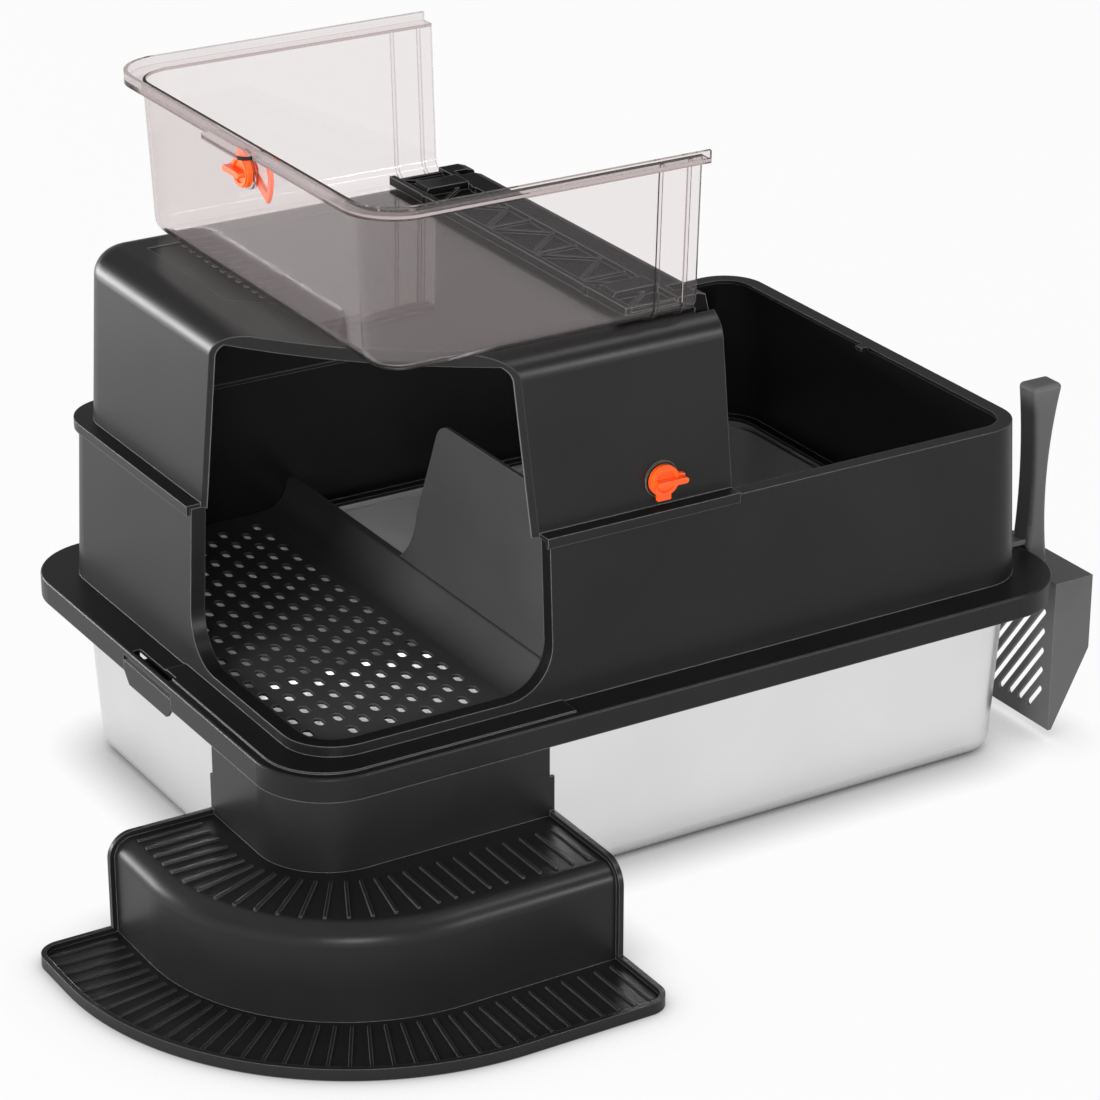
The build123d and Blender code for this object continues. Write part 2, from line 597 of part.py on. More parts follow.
hood_outer = hood_form(0)
hood_inner = hood_form(HOOD_SHEET)
flange_foot = WALL_TOP + FLANGE_SHEET - FLANGE_LIP
roof_lip_cut = hood_cut(ROOF_LIP_SHEET, ROOF - ROOF_LIP, ROOF + FLANGE_LIP)
with BuildPart() as roof_lip:
    add(hood_outer)
    add(roof_lip_cut, mode=Mode.INTERSECT)
    add(hood_cut(0, ROOF - 2 * ROOF_LIP, ROOF + 2 * FLANGE_LIP), mode=Mode.SUBTRACT)
rear_lean = (ROOF - WALL_TOP) * tan(radians(HOOD_DRAFT))
hood_rear_cut = along_y(
    [
        (HOOD_REAR, WALL_TOP + FLANGE_SHEET), (HOOD_REAR - rear_lean, ROOF),
        (HOOD_REAR - rear_lean, 2 * ROOF),
        (BIG, 2 * ROOF), (BIG, SKIRT_FOOT), (HOOD_REAR, SKIRT_FOOT),
    ],
    -BIG, BIG,
)
roof_half = HOOD_WIDTH / 2 - (ROOF - WALL_TOP) * tan(radians(HOOD_DRAFT))
notch_half = roof_half - HOOD_TOP_RADIUS / 2
ear_centre = BARREL_HALF + EAR_GAP + EAR_WIDTH / 2
notch_edge = HINGE_X - BARREL_RADIUS - ROOF_NOTCH_GAP
panel_left = hood_left + ROOF_PANEL_MARGIN + rear_lean
panel_half = roof_half - ROOF_PANEL_MARGIN
lock_inset = LOCK_RISE * tan(radians(HOOD_DRAFT))
lock_wall_y = HOOD_WIDTH / 2 - lock_inset
lock_depth = LOCK_BOSS_PROUD + HOOD_SHEET + LOCK_BOSS_INSIDE

with BuildPart() as hood:
    add(rounded_block(FLANGE_LENGTH, FLANGE_WIDTH, FLANGE_CORNER, flange_foot, FLANGE_LIP))
    skirt_room = FLANGE_OVERHANG - FLANGE_SHEET
    add(
        rounded_block(TOP_LENGTH + 2 * skirt_room, TOP_WIDTH + 2 * skirt_room, TOP_CORNER + skirt_room,
                      flange_foot, WALL_TOP - flange_foot),
        mode=Mode.SUBTRACT,
    )
    add(hood_outer)
    add(hood_inner, mode=Mode.SUBTRACT)
    add(roof_lip.part)
    # seats for the two turn locks
    for side in (-1, 1):
        with BuildSketch(Plane.XZ.offset(side * (lock_wall_y + LOCK_BOSS_PROUD))):
            with Locations((LOCK_X, LOCK_Z)):
                Circle(LOCK_BOSS_RADIUS)
        extrude(amount=-side * lock_depth)
        with BuildSketch(Plane.XZ.offset(side * (lock_wall_y + 2 * LOCK_BOSS_PROUD))):
            with Locations((LOCK_X, LOCK_Z)):
                Circle(SHAFT_RADIUS + SHAFT_CLEAR)
        extrude(amount=-side * 3 * lock_depth, mode=Mode.SUBTRACT)
    add(hood_cut(0, SKIRT_FOOT, 2 * ROOF), mode=Mode.SUBTRACT)
    add(hood_rear_cut, mode=Mode.SUBTRACT)
    # roof stepped back behind the hinge barrel, with two ears that carry the pins
    with Locations((notch_edge, 0, HINGE_Z - 2 * BARREL_RADIUS)):
        Box(4 * BARREL_RADIUS, 2 * notch_half, 4 * BARREL_RADIUS,
            align=(Align.MIN, Align.CENTER, Align.MIN), mode=Mode.SUBTRACT)
    for side in (-1, 1):
        with BuildSketch(Plane.XZ.offset(side * ear_centre)):
            with Locations((HINGE_X, HINGE_Z)):
                Circle(BARREL_RADIUS)
            with Locations((HINGE_X, HINGE_Z)):
                Rectangle(EAR_REACH, 2 * BARREL_RADIUS, align=(Align.MAX, Align.CENTER))
            with Locations((HINGE_X, HINGE_Z)):
                Circle(HINGE_PIN_RADIUS + PIN_CLEAR, mode=Mode.SUBTRACT)
        extrude(amount=EAR_WIDTH / 2, both=True)
    # shallow panel in the roof with a row of short ribs
    with BuildSketch(Plane.XY.offset(ROOF - ROOF_PANEL_DEPTH)):
        with BuildLine():
            Polyline(
                (panel_left, panel_half), (notch_edge - ROOF_PANEL_MARGIN, panel_half),
                (notch_edge - ROOF_PANEL_MARGIN, -panel_half), (hood_cut_x + ROOF_PANEL_MARGIN, -panel_half),
                (panel_left, ENTRY_Y + ROOF_PANEL_MARGIN), close=True,
            )
        make_face()
        with Locations((panel_left + ROOF_PANEL_MARGIN, panel_half / 2)):
            with GridLocations(ROOF_RIB_LENGTH, ROOF_RIB_PITCH, 1, ROOF_RIB_COUNT):
                Rectangle(ROOF_RIB_LENGTH, ROOF_RIB_WIDTH, mode=Mode.SUBTRACT)
    extrude(amount=2 * ROOF_PANEL_DEPTH, mode=Mode.SUBTRACT)
hood.part.label = "hood"

# Lid, thrown open: clear tub with a rounded panel edge, flared walls, a lipped flange and a pull tab
lid_depth = LID_SEAT - LID_FLOOR
lid_rear = LID_EDGE + 2 * LID_CORNER
lid_length = lid_rear - LID_WALL_END
lid_centre = (lid_rear + LID_WALL_END) / 2


def lid_form(inset):
    """The lid's outer form, or with an inset its inner one, with the panel's edge rounded."""
    with BuildPart() as form:
        with BuildSketch(Plane.XY.offset(LID_SEAT)):
            with Locations((lid_centre, 0)):
                RectangleRounded(lid_length - 2 * inset, HOOD_WIDTH - 2 * inset, LID_CORNER - inset)
        extrude(amount=-(lid_depth - inset), taper=LID_DRAFT)
        fillet(form.faces().sort_by(Axis.Z)[0].outer_wire().edges(), LID_PANEL_RADIUS - inset)
    return form.part


lid_flange_length = lid_rear + LID_CORNER - LID_FLANGE_END
lid_flange_centre = (lid_rear + LID_CORNER + LID_FLANGE_END) / 2
bead_end = LID_EDGE - LID_BEAD_EDGE
lid_outer = lid_form(0)
lid_inner = lid_form(LID_SHEET)
lid_beaded = lid_form(-LID_BEAD)
with BuildPart() as lid_beads:
    add(lid_beaded)
    with Locations((bead_end - LID_BEAD_PITCH / 2, 0, LID_SEAT)):
        Box(LID_BEAD_PITCH + LID_BEAD_WIDTH, BIG, BIG, mode=Mode.INTERSECT)
    with Locations((bead_end - LID_BEAD_PITCH / 2, 0, LID_SEAT)):
        Box(LID_BEAD_PITCH - LID_BEAD_WIDTH, BIG, BIG, mode=Mode.SUBTRACT)
    add(lid_inner, mode=Mode.SUBTRACT)

lid_lock_z = 2 * HINGE_Z - LOCK_Z
lid_lock_lean = (LID_SEAT - lid_lock_z) * tan(radians(LID_DRAFT))
lid_lock_wall = LID_WALL_END + lid_lock_lean
lid_lock_depth = LOCK_BOSS_PROUD + LID_SHEET + LOCK_BOSS_INSIDE
strip_right = LID_EDGE - STRIP_INSET
strip_left = strip_right - STRIP_WIDTH
strip_low = LID_FLOOR + LID_SHEET
screw_places = [
    (x, y)
    for x in (strip_left + STRIP_RAIL / 2, strip_right - STRIP_RAIL / 2)
    for y in (-STRIP_SCREW_Y, STRIP_SCREW_Y)
]

with BuildPart() as lid:
    add(lid_outer)
    add(rounded_block(lid_flange_length, FLANGE_WIDTH, FLANGE_CORNER, LID_SEAT - FLANGE_SHEET,
                      FLANGE_SHEET + LID_FLANGE_LIP, centre_x=lid_flange_centre))
    with BuildSketch(Plane.XY.offset(LID_SEAT - FLANGE_SHEET)):
        with Locations((LID_FLANGE_END, 0)):
            RectangleRounded(2 * LID_TAB_REACH, LID_TAB_WIDTH, LID_TAB_REACH - 1)
    extrude(amount=FLANGE_SHEET)
    add(
        rounded_block(
            lid_flange_length - 2 * FLANGE_SHEET, FLANGE_WIDTH - 2 * FLANGE_SHEET,
            FLANGE_CORNER - FLANGE_SHEET, LID_SEAT, 2 * LID_FLANGE_LIP, centre_x=lid_flange_centre,
        ),
        mode=Mode.SUBTRACT,
    )
    add(lid_beads.part)
    add(lid_inner, mode=Mode.SUBTRACT)
    # seat for the turn lock on the end wall
    with BuildSketch(Plane.YZ.offset(lid_lock_wall - LOCK_BOSS_PROUD)):
        with Locations((0, lid_lock_z)):
            Circle(LOCK_BOSS_RADIUS)
    extrude(amount=lid_lock_depth)
    with BuildSketch(Plane.YZ.offset(lid_lock_wall - 2 * LOCK_BOSS_PROUD)):
        with Locations((0, lid_lock_z)):
            Circle(SHAFT_RADIUS + SHAFT_CLEAR)
    extrude(amount=3 * lid_lock_depth, mode=Mode.SUBTRACT)
    with Locations((LID_EDGE, 0, LID_SEAT)):
        Box(BIG, BIG, BIG, align=(Align.MIN, Align.CENTER, Align.CENTER), mode=Mode.SUBTRACT)
    # countersunk holes for the screws of the hinge strip
    with Locations(*[(x, y, LID_FLOOR) for x, y in screw_places]):
        Cone(STRIP_SCREW_HEAD, STRIP_SCREW_RADIUS, STRIP_SCREW_HEAD - STRIP_SCREW_RADIUS,
             align=(Align.CENTER, Align.CENTER, Align.MIN), mode=Mode.SUBTRACT)
        Cylinder(STRIP_SCREW_RADIUS + PIN_CLEAR, 4 * LID_SHEET, mode=Mode.SUBTRACT)
lid.part.label = "lid"

# Hinge strip: ribbed strip screwed to the inside of the lid's panel, with the hinge barrel along its edge
strip_half = STRIP_END
bay = 2 * (strip_half - STRIP_RAIL) / STRIP_BAYS
truss_left = strip_left + STRIP_RAIL
truss_right = strip_right - STRIP_RAIL
web_top = strip_low + STRIP_RAIL_HEIGHT
web_foot = BARREL_RADIUS - STRIP_INSET
with BuildPart() as hinge_strip:
    with Locations((strip_left, 0, strip_low)):
        Box(STRIP_WIDTH, 2 * strip_half, STRIP_SHEET, align=(Align.MIN, Align.CENTER, Align.MIN))
    for x in (strip_left, truss_right):
        with Locations((x, 0, strip_low)):
            Box(STRIP_RAIL, 2 * strip_half, STRIP_RAIL_HEIGHT, align=(Align.MIN, Align.CENTER, Align.MIN))
    # cross bars between the rails and a zigzag of ribs, one leg up and one leg down in every bay
    with BuildSketch(Plane.XY.offset(strip_low)):
        for number in range(STRIP_BAYS + 1):
            y = number * bay - strip_half + STRIP_RAIL
            with Locations(((truss_left + truss_right) / 2, y)):
                Rectangle(truss_right - truss_left + 1, STRIP_RIB)
        for number in range(STRIP_BAYS):
            y = number * bay - strip_half + STRIP_RAIL
            peak = (truss_right, y + bay / 2)
            for a, b in (((truss_left, y), peak), (peak, (truss_left, y + bay))):
                run = hypot(b[0] - a[0], b[1] - a[1])
                lean = degrees(atan2(b[1] - a[1], b[0] - a[0]))
                with Locations(Location(((a[0] + b[0]) / 2, (a[1] + b[1]) / 2), lean)):
                    Rectangle(run + STRIP_RIB / 2, STRIP_RIB)
    extrude(amount=STRIP_RIB_HEIGHT)
    with Locations(*[(x, y, strip_low) for x, y in screw_places]):
        Cylinder(STRIP_BOSS_RADIUS, STRIP_RAIL_HEIGHT, align=(Align.CENTER, Align.CENTER, Align.MIN))
    # a stop block with a sloped top near each end
    for side in (-1, 1):
        with BuildSketch(Plane.XZ.offset(side * STRIP_BLOCK_Y)):
            with BuildLine():
                Polyline(
                    (truss_left, strip_low), (truss_right, strip_low),
                    (truss_right, strip_low + STRIP_BLOCK_HEIGHT),
                    (truss_left + STRIP_BLOCK_CUT, strip_low + STRIP_BLOCK_HEIGHT),
                    (truss_left, strip_low + STRIP_BLOCK_CUT), close=True,
                )
            make_face()
        extrude(amount=STRIP_BLOCK / 2, both=True)
    # barrel on the hinge axis and the web that carries it over the lid's edge
    with BuildSketch(Plane.XZ):
        with Locations((HINGE_X, HINGE_Z)):
            Circle(BARREL_RADIUS)
        with BuildLine():
            Polyline(
                (truss_right, strip_low), (LID_EDGE + 1, strip_low),
                (notch_edge + ROOF_NOTCH_GAP, strip_low - WEB_THICKNESS), (HINGE_X - web_foot, HINGE_Z),
                (HINGE_X + web_foot, HINGE_Z), (HINGE_X + WEB_THICKNESS / 2, web_top - WEB_THICKNESS / 2),
                (HINGE_X - WEB_THICKNESS, web_top),
                (truss_right, web_top), close=True,
            )
        make_face()
    extrude(amount=strip_half, both=True)
    for side in (-1, 1):
        with Locations((strip_right + 1, side * ear_centre, HINGE_Z)):
            Box(4 * BARREL_RADIUS, EAR_WIDTH + 2 * EAR_GAP, 8 * BARREL_RADIUS,
                align=(Align.MIN, Align.CENTER, Align.CENTER), mode=Mode.SUBTRACT)
        with BuildSketch(Plane.XZ.offset(side * (BARREL_HALF - PIN_INSERT))):
            with Locations((HINGE_X, HINGE_Z)):
                Circle(HINGE_PIN_RADIUS + PIN_CLEAR)
        extrude(amount=side * strip_half, mode=Mode.SUBTRACT)
    with Locations(*[(x, y, strip_low) for x, y in screw_places]):
        Cylinder(STRIP_SCREW_RADIUS + PIN_CLEAR, 2 * (STRIP_RAIL_HEIGHT - 1), mode=Mode.SUBTRACT)
hinge_strip.part.label = "hinge_strip"

# Hinge pins, one in each ear, and the countersunk screws of the strip
pin_length = strip_half - BARREL_HALF + PIN_INSERT
hinge_pins = {}
for side, end in ((1, "near"), (-1, "far")):
    with BuildPart() as hinge_pin:
        with BuildSketch(Plane.XZ.offset(side * (BARREL_HALF - PIN_INSERT))):
            with Locations((HINGE_X, HINGE_Z)):
                Circle(HINGE_PIN_RADIUS)
        extrude(amount=side * pin_length)
        chamfer(hinge_pin.edges().filter_by(GeomType.CIRCLE), HINGE_PIN_RADIUS / 4)
    hinge_pin.part.label = "hinge_pin_" + end
    hinge_pins[end] = hinge_pin.part

with BuildPart() as strip_screws:
    with Locations(*[(x, y, LID_FLOOR) for x, y in screw_places]):
        Cone(STRIP_SCREW_HEAD - PIN_CLEAR, STRIP_SCREW_RADIUS - PIN_CLEAR,
             STRIP_SCREW_HEAD - STRIP_SCREW_RADIUS, align=(Align.CENTER, Align.CENTER, Align.MIN))
        Cylinder(STRIP_SCREW_RADIUS - PIN_CLEAR, LID_SHEET + STRIP_RAIL_HEIGHT - 2,
                 align=(Align.CENTER, Align.CENTER, Align.MIN))
strip_screws.part.label = "strip_screws"

# Turn locks: a knob outside, a pawl inside on the knob's square tenon, and the screw that holds them together
pawl_inner = LOCK_RISE + WALL_SHEET + PAWL_CLEAR
pawl_outer = pawl_inner + PAWL_HOOK


def lock_knob(seat, depth):
    """Disc with a raised ring, a grip fin ending in a pointer, a stop lug and a shaft."""
    tip = (KNOB_FIN_WIDTH + KNOB_EDGE) / 2
    root = KNOB_RADIUS - KNOB_FIN_WIDTH
    fin_left = KNOB_EDGE + KNOB_RING_WIDTH / 2 - KNOB_RADIUS
    fin_right = KNOB_POINTER - KNOB_EDGE
    with BuildPart() as knob:
        with BuildSketch(seat.offset(LOCK_GAP)):
            Circle(KNOB_RADIUS)
            Polygon((0, -root), (KNOB_POINTER, -tip), (KNOB_POINTER, tip), (0, root), align=None)
            with Locations((0, -KNOB_LUG / 2)):
                Rectangle(KNOB_LUG_WIDTH, KNOB_LUG)
        extrude(amount=KNOB_DISC)
        with BuildSketch(seat.offset(LOCK_GAP + KNOB_DISC)):
            Circle(KNOB_RADIUS - KNOB_EDGE)
            Circle(KNOB_RADIUS - KNOB_EDGE - KNOB_RING_WIDTH, mode=Mode.SUBTRACT)
        extrude(amount=KNOB_RING)
        with BuildSketch(seat.offset(LOCK_GAP + KNOB_DISC)):
            with Locations(((fin_left + fin_right) / 2, 0)):
                SlotOverall(fin_right - fin_left, KNOB_FIN_WIDTH)
        extrude(amount=KNOB_FIN_HEIGHT)
        with BuildSketch(seat.offset(LOCK_GAP)):
            Circle(SHAFT_RADIUS)
        extrude(amount=-(depth + 2 * LOCK_GAP))
        with BuildSketch(seat.offset(-depth - LOCK_GAP)):
            Rectangle(TENON, TENON)
        extrude(amount=-PAWL_SHEET)
        with BuildSketch(seat.offset(-depth - LOCK_GAP - PAWL_SHEET)):
            Circle(LOCK_SCREW_RADIUS + PIN_CLEAR)
        extrude(amount=LOCK_SCREW_LENGTH + 1, mode=Mode.SUBTRACT)
    return knob.part


def lock_pawl(seat, depth, turn):
    """Hub, arm and a hook on a circle about the shaft; at a turn of zero the hook lies under the keeper."""
    back = seat.offset(-depth - LOCK_GAP)
    hook_start = PAWL_ARM_ANGLE + turn
    arm_reach = (pawl_inner + pawl_outer) / 2
    with BuildPart() as pawl:
        with BuildSketch(back):
            Circle(PAWL_HUB_RADIUS)
            with Locations(Location((0, 0), hook_start)):
                Rectangle(arm_reach, PAWL_ARM_WIDTH, align=(Align.MIN, Align.CENTER))
            with BuildLine():
                outer = CenterArc((0, 0), pawl_outer, hook_start - PAWL_HEEL, PAWL_SWEEP + PAWL_HEEL)
                inner = CenterArc((0, 0), pawl_inner, hook_start - PAWL_HEEL, PAWL_SWEEP + PAWL_HEEL)
                Line(outer @ 0, inner @ 0)
                Line(outer @ 1, inner @ 1)
            make_face()
            with Locations(Location((0, 0), turn)):
                Rectangle(TENON + 2 * TENON_CLEAR, TENON + 2 * TENON_CLEAR, mode=Mode.SUBTRACT)
        extrude(amount=-PAWL_SHEET)
    return pawl.part


def lock_screw(seat, depth):
    """Pan-head screw from inside into the knob's shaft."""
    face = seat.offset(-depth - LOCK_GAP - PAWL_SHEET)
    with BuildPart() as screw:
        with BuildSketch(face):
            Circle(LOCK_SCREW_HEAD)
        extrude(amount=-2)
        with BuildSketch(face):
            Circle(LOCK_SCREW_RADIUS)
        extrude(amount=LOCK_SCREW_LENGTH)
    return screw.part


near_seat = Plane(
    origin=(LOCK_X, -(lock_wall_y + LOCK_BOSS_PROUD), LOCK_Z), x_dir=(1, 0, 0), z_dir=(0, -1, 0)
)
far_seat = Plane(
    origin=(LOCK_X, lock_wall_y + LOCK_BOSS_PROUD, LOCK_Z), x_dir=(-1, 0, 0), z_dir=(0, 1, 0)
)
lid_seat = Plane(
    origin=(lid_lock_wall - LOCK_BOSS_PROUD, 0, lid_lock_z), x_dir=(0, 1, 0), z_dir=(-1, 0, 0)
)
lock_pieces = {}
for name, seat, depth, turn in (
    ("hood_near", near_seat, lock_depth, 0),
    ("hood_far", far_seat, lock_depth, 0),
    ("lid", lid_seat, lid_lock_depth, -90),
):
    lock_pieces[name + "_knob"] = lock_knob(seat, depth)
    lock_pieces[name + "_pawl"] = lock_pawl(seat, depth, turn)
    lock_pieces[name + "_lock_screw"] = lock_screw(seat, depth)
for name, piece in lock_pieces.items():
    piece.label = name

# Rim clips: a plate flush with the skirt, a knuckle on a pin under the rim's slot, and a hook
# under the pan's curl
clip_face = RIM_LENGTH / 2
clip_back = clip_face - CLIP_SHEET
hook_top = PAN_HEIGHT - PAN_CURL - CLIP_HOOK_GAP
hook_end = PAN_LENGTH / 2 + PAN_FLANGE - PAN_SHEET - CLIP_HOOK_BITE
clip_foot = SKIRT_FOOT - CLIP_DROP
clip_pieces = {}
for side, end in ((-1, "front"), (1, "rear")):
    with BuildPart() as rim_clip:
        with BuildSketch(Plane.YZ.offset(side * clip_back)):
            with BuildLine():
                Polyline(
                    (-clip_half, clip_top), (clip_half, clip_top), (clip_half, SKIRT_FOOT),
                    (clip_half - CLIP_TAPER, clip_foot), (CLIP_TAPER - clip_half, clip_foot),
                    (-clip_half, SKIRT_FOOT), close=True,
                )
            make_face()
        extrude(amount=side * CLIP_SHEET)
        top_edge = rim_clip.edges().filter_by(Axis.Y).group_by(Axis.Z)[-1].sort_by(Axis.X)
        chamfer(top_edge[-1:] if side > 0 else top_edge[:1], CLIP_CHAMFER)
        with BuildSketch(Plane.XZ):
            with Locations((side * clip_pivot_x, clip_pivot_z)):
                Circle(CLIP_KNUCKLE_RADIUS)
            with BuildLine():
                Polyline(
                    (side * clip_pivot_x, clip_pivot_z), (side * (clip_back + 1), clip_top - CLIP_CHAMFER),
                    (side * (clip_back + 1), hook_top - CLIP_HOOK_SHEET), (side * hook_end, hook_top - 1),
                    (side * hook_end, hook_top), (side * (clip_pivot_x - CLIP_KNUCKLE_RADIUS), hook_top),
                    close=True,
                )
            make_face()
            with Locations((side * clip_pivot_x, clip_pivot_z)):
                Circle(CLIP_PIN_RADIUS + PIN_CLEAR, mode=Mode.SUBTRACT)
        extrude(amount=CLIP_KNUCKLE_HALF, both=True)
    with BuildPart() as clip_pin:
        with BuildSketch(Plane.XZ):
            with Locations((side * clip_pivot_x, clip_pivot_z)):
                Circle(CLIP_PIN_RADIUS)
        extrude(amount=lug_outer, both=True)
    rim_clip.part.label = "rim_clip_" + end
    clip_pin.part.label = "rim_clip_pin_" + end
    clip_pieces[rim_clip.part.label] = rim_clip.part
    clip_pieces[clip_pin.part.label] = clip_pin.part

# Corner steps: a hollow two-step moulding round the entry corner, tucked under the skirt
riser_x = RIM_LENGTH / 2
riser_y = RIM_WIDTH / 2
nose_x = riser_x + TREAD_ONE_X
nose_y = riser_y + TREAD_ONE_Y
foot_x = nose_x + TREAD_TWO_X
foot_y = nose_y + TREAD_TWO_Y


def step_outline(x, y, corner, tip=0.0, end_inset=0.0):
    """A quadrant from the steps' two end planes to a rounded corner at -x, -y, its tips rounded too."""
    with BuildSketch() as outline:
        with Locations((-x, -y)):
            Rectangle(
                x + STEP_END_X - end_inset, y + STEP_END_Y - end_inset, align=(Align.MIN, Align.MIN)
            )
        corners = outline.vertices().sort_by(lambda v: v.X + v.Y)
        if tip > 0:
            fillet(corners[1:3], tip)
        fillet(outline.vertices().sort_by(lambda v: v.X + v.Y)[:1], corner)
    return outline.sketch


def tread_block(inset, low):
    """The upper step between its end planes, with a rounded corner and nosing, less an inset all round."""
    spare = TREAD_ONE_X
    end_inset = max(inset, 0)
    with BuildPart() as block:
        with BuildSketch(Plane.XY.offset(low)):
            with Locations((inset - nose_x, inset - nose_y)):
                Rectangle(
                    nose_x - inset + STEP_END_X + spare, nose_y - inset + STEP_END_Y + spare,
                    align=(Align.MIN, Align.MIN),
                )
            fillet(vertices().sort_by(lambda v: v.X + v.Y)[:1], TREAD_ONE_CORNER - inset)
        extrude(amount=TREAD_ONE_HEIGHT - inset - low)
        rim = block.faces().sort_by(Axis.Z)[-1].edges()
        fillet(rim.sort_by(lambda e: e.center().X + e.center().Y)[:3], NOSING_RADIUS - inset)
        with Locations((STEP_END_X - end_inset, STEP_END_Y - end_inset, low)):
            Box(BIG, BIG, BIG, align=(Align.MAX, Align.MAX, Align.MIN), mode=Mode.INTERSECT)
    return block.part


upper_step = tread_block(0, 0)
upper_bead = tread_block(-STEP_BEAD, 0)
upper_room = tread_block(STEP_SHEET, -1)
foot_outline = step_outline(foot_x, foot_y, TREAD_TWO_CORNER, STEP_TIP)
with BuildPart() as end_beads:
    add(upper_bead)
    with Locations((STEP_END_X - STEP_BEAD_WIDTH, STEP_END_Y - STEP_BEAD_WIDTH, -1)):
        Box(BIG, BIG, BIG, align=(Align.MAX, Align.MAX, Align.MIN), mode=Mode.SUBTRACT)


def step_ribs(inner, outer, level, count):
    """Places for ribs square to the line midway between two outlines, evenly spaced along that line."""
    mid = [(a + b) / 2 for a, b in zip(inner, outer)]
    with BuildLine() as guide:
        start = Line((-mid[0], STEP_END_Y), (-mid[0], mid[2] - mid[1]))
        turn = TangentArc(start @ 1, (mid[2] - mid[0], -mid[1]), tangent=start % 1)
        Line(turn @ 1, (STEP_END_X, -mid[1]))
    path = guide.wire()
    places = []
    for number in range(count):
        at = (number + 1) / (count + 1)
        point = path.position_at(at)
        along = path.tangent_at(at)
        places.append(Location((point.X, point.Y, level), (0, 0, degrees(atan2(along.Y, along.X)) + 90)))
    return places


riser_line = (riser_x, riser_y, RIM_CORNER)
nose_line = (nose_x, nose_y, TREAD_ONE_CORNER)
foot_line = (foot_x, foot_y, TREAD_TWO_CORNER)
rib_one = step_ribs(riser_line, nose_line, TREAD_ONE_HEIGHT, STEP_RIBS_ONE)
rib_two = step_ribs(nose_line, foot_line, TREAD_TWO_HEIGHT, STEP_RIBS_TWO)
lip_inside = step_outline(
    *[size - STEP_BEAD_WIDTH for size in foot_line], STEP_TIP - STEP_BEAD_WIDTH, STEP_BEAD_WIDTH
)
riser_outline = step_outline(riser_x, riser_y, RIM_CORNER)
pan_side = step_outline(riser_x - STEP_SHEET, riser_y - STEP_SHEET, RIM_CORNER - STEP_SHEET)

with BuildPart() as corner_steps:
    add(foot_outline)
    extrude(amount=TREAD_TWO_HEIGHT)
    add(upper_step)
    add(end_beads.part)
    with BuildSketch():
        add(foot_outline)
        add(lip_inside, mode=Mode.SUBTRACT)
    extrude(amount=TREAD_TWO_HEIGHT + STEP_BEAD)
    with BuildSketch():
        add(riser_outline)
    extrude(amount=SKIRT_FOOT)
    add(upper_room, mode=Mode.SUBTRACT)
    with BuildSketch(Plane.XY.offset(TREAD_ONE_HEIGHT - STEP_SHEET)):
        add(riser_outline)
        add(pan_side, mode=Mode.SUBTRACT)
    extrude(amount=SKIRT_FOOT - TREAD_ONE_HEIGHT + STEP_SHEET)
    with BuildSketch(Plane.XY.offset(-1)):
        add(pan_side)
    extrude(amount=SKIRT_HEIGHT + SKIRT_FOOT, mode=Mode.SUBTRACT)
    # the riser's upper part stands back from the end planes above a pair of tabs
    with Locations((STEP_END_X - STEP_BEAD_WIDTH, 0, STEP_TAB_TOP)):
        Box(BIG, BIG, BIG, align=(Align.MIN, Align.CENTER, Align.MIN), mode=Mode.SUBTRACT)
    with Locations((0, STEP_END_Y - STEP_BEAD_WIDTH, STEP_TAB_TOP)):
        Box(BIG, BIG, BIG, align=(Align.CENTER, Align.MIN, Align.MIN), mode=Mode.SUBTRACT)
    with Locations(*rib_one):
        Box(TREAD_ONE_X - 2 * STEP_RIB_MARGIN - NOSING_RADIUS / 2, STEP_RIB_WIDTH, 2 * STEP_RIB_HEIGHT)
    with Locations(*rib_two):
        Box(TREAD_TWO_X - STEP_RIB_MARGIN, STEP_RIB_WIDTH, 2 * STEP_RIB_HEIGHT)
corner_steps.part.label = "corner_steps"

# Scoop: bowl with a slotted back towards the pan, side walls cut back to the lip, and a waisted handle
scoop_back = scoop_face + SCOOP_SHEET
scoop_front = scoop_face + SCOOP_DEPTH
slot_mid = (SCOOP_FOOT + SCOOP_TOP) / 2
handle_foot = SCOOP_TOP - SCOOP_SHEET
slot_half_y = SCOOP_WIDTH / 2 - SCOOP_SLOT_MARGIN
slot_half_z = (SCOOP_TOP - SCOOP_FOOT) / 2 - SCOOP_SLOT_MARGIN
slot_slope = tan(radians(SCOOP_SLOT_LEAN))
slot_least_y = SCOOP_SLOT_LEAST * abs(cos(radians(SCOOP_SLOT_LEAN)))
slot_reach = slot_half_y + slot_half_z / abs(slot_slope) - slot_least_y
slot_count = 2 * int(slot_reach / SCOOP_SLOT_PITCH) + 1


def slot_span(shift):
    """The two ends of a slot's line, shifted along Y from the plate's middle and kept within its margins."""
    ends = sorted((shift - slot_half_z / slot_slope, shift + slot_half_z / slot_slope))
    low = max(ends[0], -slot_half_y)
    high = min(ends[1], slot_half_y)
    return (low, (low - shift) * slot_slope), (high, (high - shift) * slot_slope)


